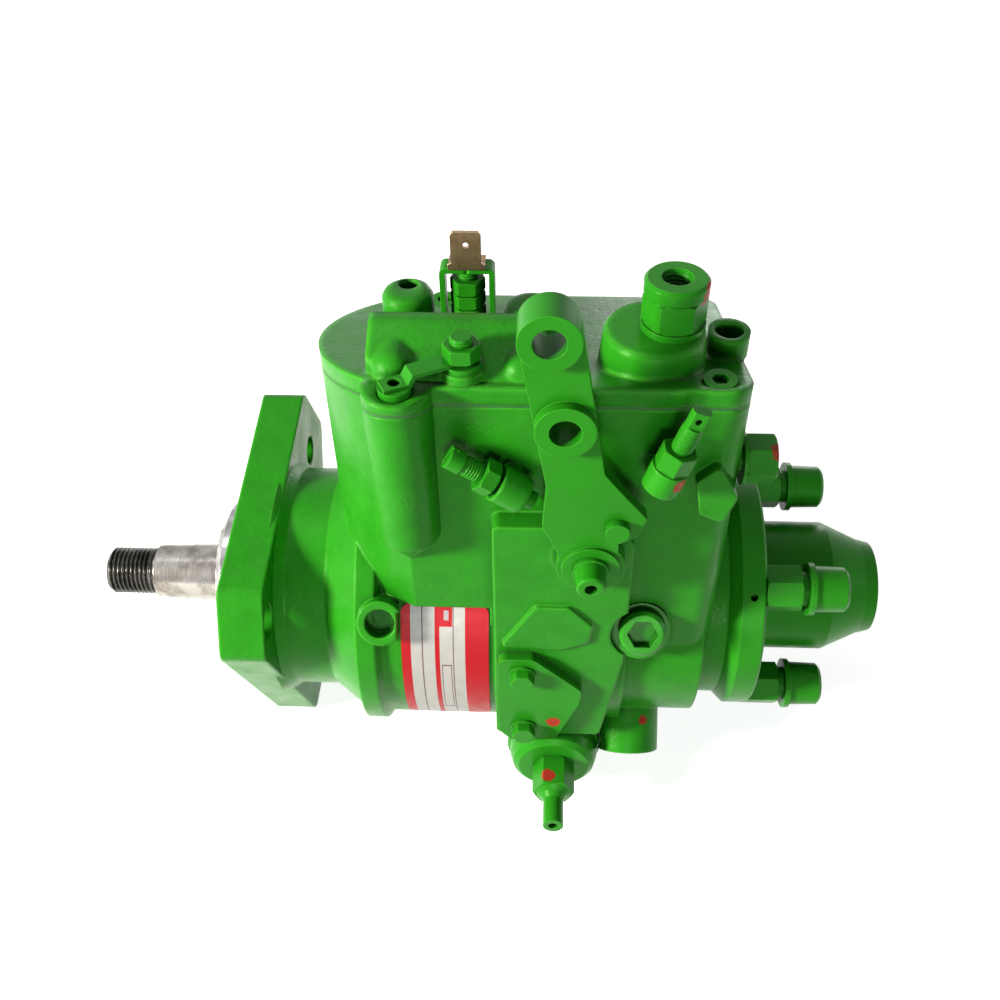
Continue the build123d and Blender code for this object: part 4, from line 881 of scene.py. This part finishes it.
@dataclass
class DriveShaft:
    """The drive shaft with a cut thread on its outer end and a flat tang on its inner end, sizes in mm.

    One closed grid of rings along the axis. In the thread the radius at place h and angle a falls from the
    crest by depth x trapezium(h, a), less over the last turn. In the tang the radius at angle a is the
    smaller of half the thickness / |cosine a| and half the width / |sine a|.
    """

    finishes: Finishes
    nose: float = -51.7
    chamfer: float = 1.0
    centre_depth: float = 4.0
    centre_radius: float = 1.5
    thread_end: float = -36.2
    crest: float = 7.95
    depth: float = 0.92
    pitch: float = 1.5
    slope: float = -1.6
    level: float = 1.25
    undercut: float = 0.8
    taper_start: float = -34.7
    taper_radius: float = 9.2
    journal_start: float = -10.0
    journal_radius: float = 10.0
    step_start: float = 34.0
    step_radius: float = 9.0
    tang_start: float = 86.0
    tang_end: float = 91.0
    tang_half_thickness: float = 2.5
    tang_half_width: float = 8.0
    rings_per_pitch: int = 10
    around: int = 72

    def plain_rows(self, angle: np.ndarray, *corners: Pair) -> tuple[np.ndarray, np.ndarray]:
        """Places and radii of plain rings.

        Args:
            angle: the angles round the axis, as one row.
            corners: place and radius of each ring.

        Returns:
            Two grids, of places along the axis and of radii.
        """
        place, radius = np.array(corners).T[:, :, None] * np.ones_like(angle)
        return place, radius

    def thread_rows(self, angle: np.ndarray) -> tuple[np.ndarray, np.ndarray]:
        """Places and radii of the thread's rings.

        Args:
            angle: the angles round the axis, as one row.

        Returns:
            Two grids, of places along the axis and of radii.
        """
        start = self.nose + self.chamfer
        rings = int((self.thread_end - start) / self.pitch * self.rings_per_pitch)
        place = np.linspace(start, self.thread_end, rings)[:, None]
        groove = trapezium(place, angle, self.pitch, self.slope, self.level)
        fade = np.clip((self.thread_end - place) / self.pitch, 0, 1)
        radius = self.crest - self.depth * groove * fade
        return np.broadcast_to(place, radius.shape), radius

    def tang_rows(self, angle: np.ndarray) -> tuple[np.ndarray, np.ndarray]:
        """Places and radii of the tang's two oblong rings and of the point that closes it.

        Args:
            angle: the angles round the axis, as one row.

        Returns:
            Two grids, of places along the axis and of radii.
        """
        across = self.tang_half_thickness / np.maximum(np.abs(np.cos(angle)), NEARLY_NOUGHT)
        up = self.tang_half_width / np.maximum(np.abs(np.sin(angle)), NEARLY_NOUGHT)
        oblong = np.minimum(across, up)
        place = np.array((self.tang_start, self.tang_end, self.tang_end))[:, None] * np.ones_like(angle)
        return place, np.concatenate((oblong, oblong, np.zeros_like(angle)))

    def build(self) -> None:
        """Adds the shaft in place of its plain solid."""
        angle = np.linspace(0, FULL_TURN, self.around, endpoint=False)[None, :]
        centre_end = self.nose + self.centre_depth
        root = self.crest - self.undercut
        rows = (
            self.plain_rows(
                angle,
                (centre_end, 0.0),
                (centre_end, self.centre_radius),
                (self.nose, self.centre_radius),
                (self.nose, self.crest - self.chamfer),
            ),
            self.thread_rows(angle),
            self.plain_rows(
                angle,
                (self.thread_end, root),
                (self.taper_start, root),
                (self.taper_start, self.taper_radius),
                (self.journal_start, self.journal_radius),
                (self.step_start, self.journal_radius),
                (self.step_start, self.step_radius),
                (self.tang_start, self.step_radius),
            ),
            self.tang_rows(angle),
        )
        place, radius = (np.concatenate(grids) for grids in zip(*rows))
        points = SHAFT_AXLE.ring(radius, angle, place)
        piece = skin("threaded_drive_shaft", points, wrap_rows=False, wrap_columns=True, crease=32)
        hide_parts("drive_shaft")
        settle(piece, "drive", self.finishes["turned_shaft_steel"])


@dataclass
class LabelPlate:
    """Foil plate bent round the body, with rounded corners, sizes in mm and angles in degrees.

    A point of the plate is at (x, angle): across the corners' rows the width shrinks by
    r - square root of (r squared - distance into the corner squared).
    """

    finishes: Finishes
    ends: Pair = PLATE_ALONG
    angles: Pair = PLATE_ROUND
    body_radius: float = 45.5
    corner: float = 3.2
    clearance: float = 0.08
    thickness: float = 0.45
    corner_rows: int = 9
    straight_rows: int = 40
    columns: int = 9

    def sheet(self, radius: float) -> np.ndarray:
        """One face of the plate.

        Args:
            radius: the face's distance from the pump's axis, in mm.

        Returns:
            A grid of points (rows round the body, columns along it, 3), in metres.
        """
        half = math.radians(self.angles[1] - self.angles[0]) / 2 * self.body_radius
        corner_steps = self.corner * (1 - np.cos(np.linspace(0, math.pi / 2, self.corner_rows)))
        straight = np.linspace(-half + self.corner, half - self.corner, self.straight_rows)[1:-1]
        along = np.concatenate((-half + corner_steps, straight, (half - corner_steps)[::-1]))
        inset = np.clip(self.corner - (half - np.abs(along)), 0, self.corner)
        shrink = self.corner - np.sqrt(np.maximum(self.corner**2 - inset**2, 0))
        half_width = (self.ends[1] - self.ends[0]) / 2
        across = np.linspace(-1, 1, self.columns)[None, :] * (half_width - shrink[:, None])
        angle = along[:, None] / self.body_radius + math.radians(sum(self.angles) / 2)
        place = sum(self.ends) / 2 + across
        return np.stack(np.broadcast_arrays(place, -radius * np.cos(angle), radius * np.sin(angle)), -1) * MM

    def build(self) -> None:
        """Adds the plate in place of its plain solid."""
        inner = self.body_radius + self.clearance
        loop = np.concatenate((self.sheet(inner + self.thickness), self.sheet(inner)[:, ::-1]), axis=1)
        piece = skin("banded_label_plate", loop, wrap_rows=False, wrap_columns=True)
        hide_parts("label_plate")
        settle(piece, "housing", self.finishes["banded_foil"])


@dataclass(frozen=True)
class Coil:
    """A coil spring's place and size in mm, and how far its joint shortens it.

    The wire's middle at share t is at angle turns x full turn x t round the axle, at the coil's radius and at
    the start plus t x length. A point of the skin lies one wire radius from it, at angle b round the wire:
    b's cosine goes outward and its sine along the axle.
    """

    node: str
    joint: str
    travel: float
    axle: Axle
    start: float
    length: float
    radius: float
    wire: float
    turns: int
    held_at_start: bool = False
    rings_per_turn: int = 28
    around: int = 10

    def points(self) -> np.ndarray:
        """The wire's skin.

        Returns:
            A grid of points, closed to a point at both ends of the wire, in metres.
        """
        share = np.linspace(0, 1, self.turns * self.rings_per_turn)[:, None]
        share = np.concatenate((share[:1], share, share[-1:]))
        wire = np.full_like(share, self.wire)
        wire[[0, -1]] = 0.0
        turn = np.linspace(0, FULL_TURN, self.around, endpoint=False)[None, :]
        along = self.start + self.length * share + wire * np.sin(turn)
        return self.axle.ring(self.radius + wire * np.cos(turn), FULL_TURN * self.turns * share, along)

    def held_end(self) -> np.ndarray:
        """The point on the axle, in metres, where the spring's fixed end stands."""
        along = self.start - self.wire if self.held_at_start else self.start + self.length + self.wire
        return self.axle.place(np.array(0.0), np.array(0.0), np.array(along))

    def left_over(self) -> float:
        """Share of the length that is left at the joint's limit."""
        return 1 - self.travel / (self.length + 2 * self.wire)


@dataclass
class CoilSprings:
    """The springs of the governor, the advance piston and the regulator."""

    finishes: Finishes
    governor: Coil = Coil(
        "governor_spring", "throttle_turn", travel=3.0, axle=Axle((0, 17, 48), (1, 0, 0)),
        start=71.8, length=35.3, radius=3.6, wire=0.6, turns=8, held_at_start=True,
    )
    advance: Coil = Coil(
        "advance_spring", "advance_slide", travel=6.0, axle=Axle((103, 0, -40), (0, 1, 0)),
        start=7.3, length=22.7, radius=3.7, wire=0.7, turns=6,
    )
    regulator: Coil = Coil(
        "regulator_spring", "regulator_slide", travel=3.0, axle=SHAFT_AXLE,
        start=181.6, length=11.8, radius=2.6, wire=0.4, turns=6,
    )

    def build(self) -> None:
        """Adds each spring in place of its plain solid."""
        for coil in (self.governor, self.advance, self.regulator):
            piece = skin("coiled_" + coil.node, coil.points(), wrap_rows=False, wrap_columns=True, crease=60)
            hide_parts(coil.node)
            settle(piece, "housing", self.finishes[STEEL])
            held_end = tuple(coil.held_end())
            coil.left_over()
            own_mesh(piece)


@dataclass
class SmallThreads:
    """Threads of the stop screws, the studs and the fuel openings, sizes in mm and leans in degrees.

    A foot is a point on the axle of its screw or opening.
    """

    finishes: Finishes
    low_stop_foot: Triple = (88.0, -46.0, 84.5)
    low_stop_lean: float = -34.5
    high_stop_foot: Triple = (127.5, -48.5, 88.0)
    high_stop_lean: float = 108.0
    stop_radius: float = 2.5
    bracket_stud_foot: Triple = (75.5, 8.0, 0.0)
    strap_stud_foot: Triple = (76.8, -34.0, 0.0)
    stud_radius: float = 2.7
    stud_length: float = 2.1
    fine_pitch: float = 0.8
    port_foot: Triple = (130.0, -19.5, 0.0)
    port_radius: float = 4.0
    port_pitch: float = 1.25
    inlet_radius: float = 6.6
    inlet_pitch: float = 1.5

    def threads(self) -> dict[str, Thread]:
        """The threads, not yet built.

        Returns:
            Every thread by the name of its piece.
        """
        low, high = math.radians(self.low_stop_lean), math.radians(self.high_stop_lean)
        low_stop = Axle(self.low_stop_foot, (math.cos(low), 0, math.sin(low)))
        high_stop = Axle(self.high_stop_foot, (-math.cos(high), 0, math.sin(high)))
        port = Axle(self.port_foot, UPWARDS)
        bracket_stud = Axle(self.bracket_stud_foot, UPWARDS)
        strap_stud = Axle(self.strap_stud_foot, UPWARDS)
        fine = {"pitch": self.fine_pitch, "fit": ON_SCREW}
        stop = {"radius": self.stop_radius, **fine}
        stud = {"radius": self.stud_radius, "length": self.stud_length, **fine}
        fuel = {"radius": self.port_radius, "pitch": self.port_pitch, "fit": IN_HOLE}
        inlet = {"radius": self.inlet_radius, "pitch": self.inlet_pitch, "fit": IN_HOLE}
        return {
            "low_stop_thread": Thread(low_stop, start=-13.5, length=5.4, **stop),
            "high_stop_thread": Thread(high_stop, start=13.1, length=7.5, **stop),
            "return_port_thread": Thread(port, start=122.0, length=9.2, **fuel),
            "bracket_stud_thread": Thread(bracket_stud, start=114.6, **stud),
            "strap_stud_thread": Thread(strap_stud, start=121.35, **stud),
            "inlet_thread": Thread(SHAFT_AXLE, start=197.0, length=10.6, **inlet),
        }

    def build(self) -> None:
        """Adds each thread where its plain solid stands."""
        paint = self.finishes[PAINTED]
        for name, thread in self.threads().items():
            settle(thread.build(name), "housing", paint)


@dataclass(frozen=True)
class Lamp:
    """A round soft lamp: place from the target and width in metres, power in watts, and colour."""

    name: str
    offset: Triple
    size: float
    power: float
    shade: Triple = (1.0, 1.0, 1.0)


@dataclass
class Studio:
    """Pale floor, soft lamps and the camera at the photograph's angle.

    The target, the distance and the lens are in mm, the angles in degrees, and the near limit of sight, the
    floor's size and its gap in metres. The room and the floor look pale to the camera and send little light
    back to the pump.
    """

    target: Triple = (83.94, 0.0, 36.89)
    distance: float = 348.0
    azimuth: float = 3.0
    elevation: float = 43.0
    roll: float = -0.96
    focal: float = 38.88
    sensor: float = 36.0
    near: float = 0.01
    floor_size: float = 3.0
    floor_gap: float = 0.0005
    floor_seen: float = 0.93
    floor_scattered: float = 0.16
    floor_glow: float = 0.80
    room_scattered: float = 0.05
    lamps: tuple[Lamp, ...] = (
        Lamp("lamp_left", (-1.00, -0.50, 0.42), size=0.24, power=28.0, shade=(1.0, 0.94, 0.82)),
        Lamp("lamp_front", (0.05, -1.10, 0.22), size=0.30, power=4.0, shade=(0.97, 1.0, 1.0)),
        Lamp("lamp_above", (-0.30, 0.10, 1.20), size=0.40, power=1.6),
        Lamp("lamp_behind", (0.35, 1.15, -0.02), size=0.50, power=2.4),
        Lamp("lamp_right", (1.20, 0.05, 0.10), size=0.40, power=1.6),
    )

    def view_axes(self) -> tuple[np.ndarray, np.ndarray, np.ndarray]:
        """Where the camera looks.

        Returns:
            Its right, up and forward unit vectors in the pump's frame.
        """
        az, el, roll = (math.radians(a) for a in (self.azimuth, self.elevation, self.roll))
        forward = np.array((-math.sin(az) * math.cos(el), math.cos(az) * math.cos(el), -math.sin(el)))
        level = np.array((math.cos(az), math.sin(az), 0.0))
        up = np.cross(level, forward)
        right = math.cos(roll) * level + math.sin(roll) * up
        return right, -math.sin(roll) * level + math.cos(roll) * up, forward

    def set_camera(self) -> None:
        """Places the camera and makes it the scene's own."""
        lens = bpy.data.cameras.new("camera")
        lens.sensor_width = self.sensor
        lens.lens = self.focal
        lens.clip_start = self.near
        camera = bpy.data.objects.new("camera", lens)
        bpy.context.scene.collection.objects.link(camera)
        right, up, forward = self.view_axes()
        place = (np.array(self.target) - self.distance * forward) * MM
        turn = Matrix(np.column_stack((right, up, -forward)).tolist())
        camera.matrix_world = Matrix.Translation(Vector(place)) @ turn.to_4x4()
        bpy.context.scene.camera = camera

    def set_lamps(self) -> None:
        """Adds the soft lamps and the even grey light of the room."""
        middle = np.array(self.target) * MM
        for lamp in self.lamps:
            light = bpy.data.lights.new(lamp.name, "AREA")
            light.shape = "DISK"
            light.size = lamp.size
            light.energy = lamp.power
            light.color = lamp.shade
            stand = bpy.data.objects.new(lamp.name, light)
            bpy.context.scene.collection.objects.link(stand)
            stand.location = Vector(middle + np.array(lamp.offset))
            stand.rotation_euler = Vector(-np.array(lamp.offset)).to_track_quat("-Z", "Y").to_euler()
        world = bpy.data.worlds.new("room")
        bpy.context.scene.world = world
        world.use_nodes = True
        graph = Graph(world.node_tree)
        back = world.node_tree.nodes["Background"]
        back.inputs["Color"].default_value = (1, 1, 1, 1)
        graph.give(back, Strength=graph.spread(seen_directly(graph), 0.0, 1.0, to_low=self.room_scattered))

    def set_floor(self) -> None:
        """Adds the pale floor under the pump's lowest point."""
        lowest = float(np.array(CAD_BOX)[0][2]) - self.floor_gap
        half = self.floor_size / 2
        corners = [(-half, -half, lowest), (half, -half, lowest), (half, half, lowest), (-half, half, lowest)]
        mesh = bpy.data.meshes.new("floor")
        mesh.from_pydata(corners, [], [(0, 1, 2, 3)])
        floor = bpy.data.objects.new("floor", mesh)
        bpy.context.scene.collection.objects.link(floor)
        material, graph, shader = new_material("pale_floor")
        seen = seen_directly(graph)
        scattered, pale = ((level, level, level, 1) for level in (self.floor_scattered, self.floor_seen))
        glow = graph.math("MULTIPLY", seen, self.floor_glow)
        graph.give(shader, Base_Color=graph.blend(seen, scattered, pale), Emission_Strength=glow)
        shader.inputs["Roughness"].default_value = 0.9
        shader.inputs["Specular IOR Level"].default_value = 0.1
        shader.inputs["Emission Color"].default_value = (1, 1, 1, 1)
        floor.data.materials.append(material)

    def build(self) -> None:
        """Sets the whole studio up."""
        self.set_camera()
        self.set_lamps()
        self.set_floor()
        bpy.context.scene.view_settings.view_transform = "Standard"


def main() -> None:
    """Builds the pump's looks and the studio."""
    logging.basicConfig(level=logging.INFO, format="%(name)s: %(message)s")
    Studio().build()
    finishes = Finishes()
    CarriedNodes(finishes).dress()
    DriveShaft(finishes).build()
    LabelPlate(finishes).build()
    CoilSprings(finishes).build()
    SmallThreads(finishes).build()


if __name__ == "__main__":
    main()
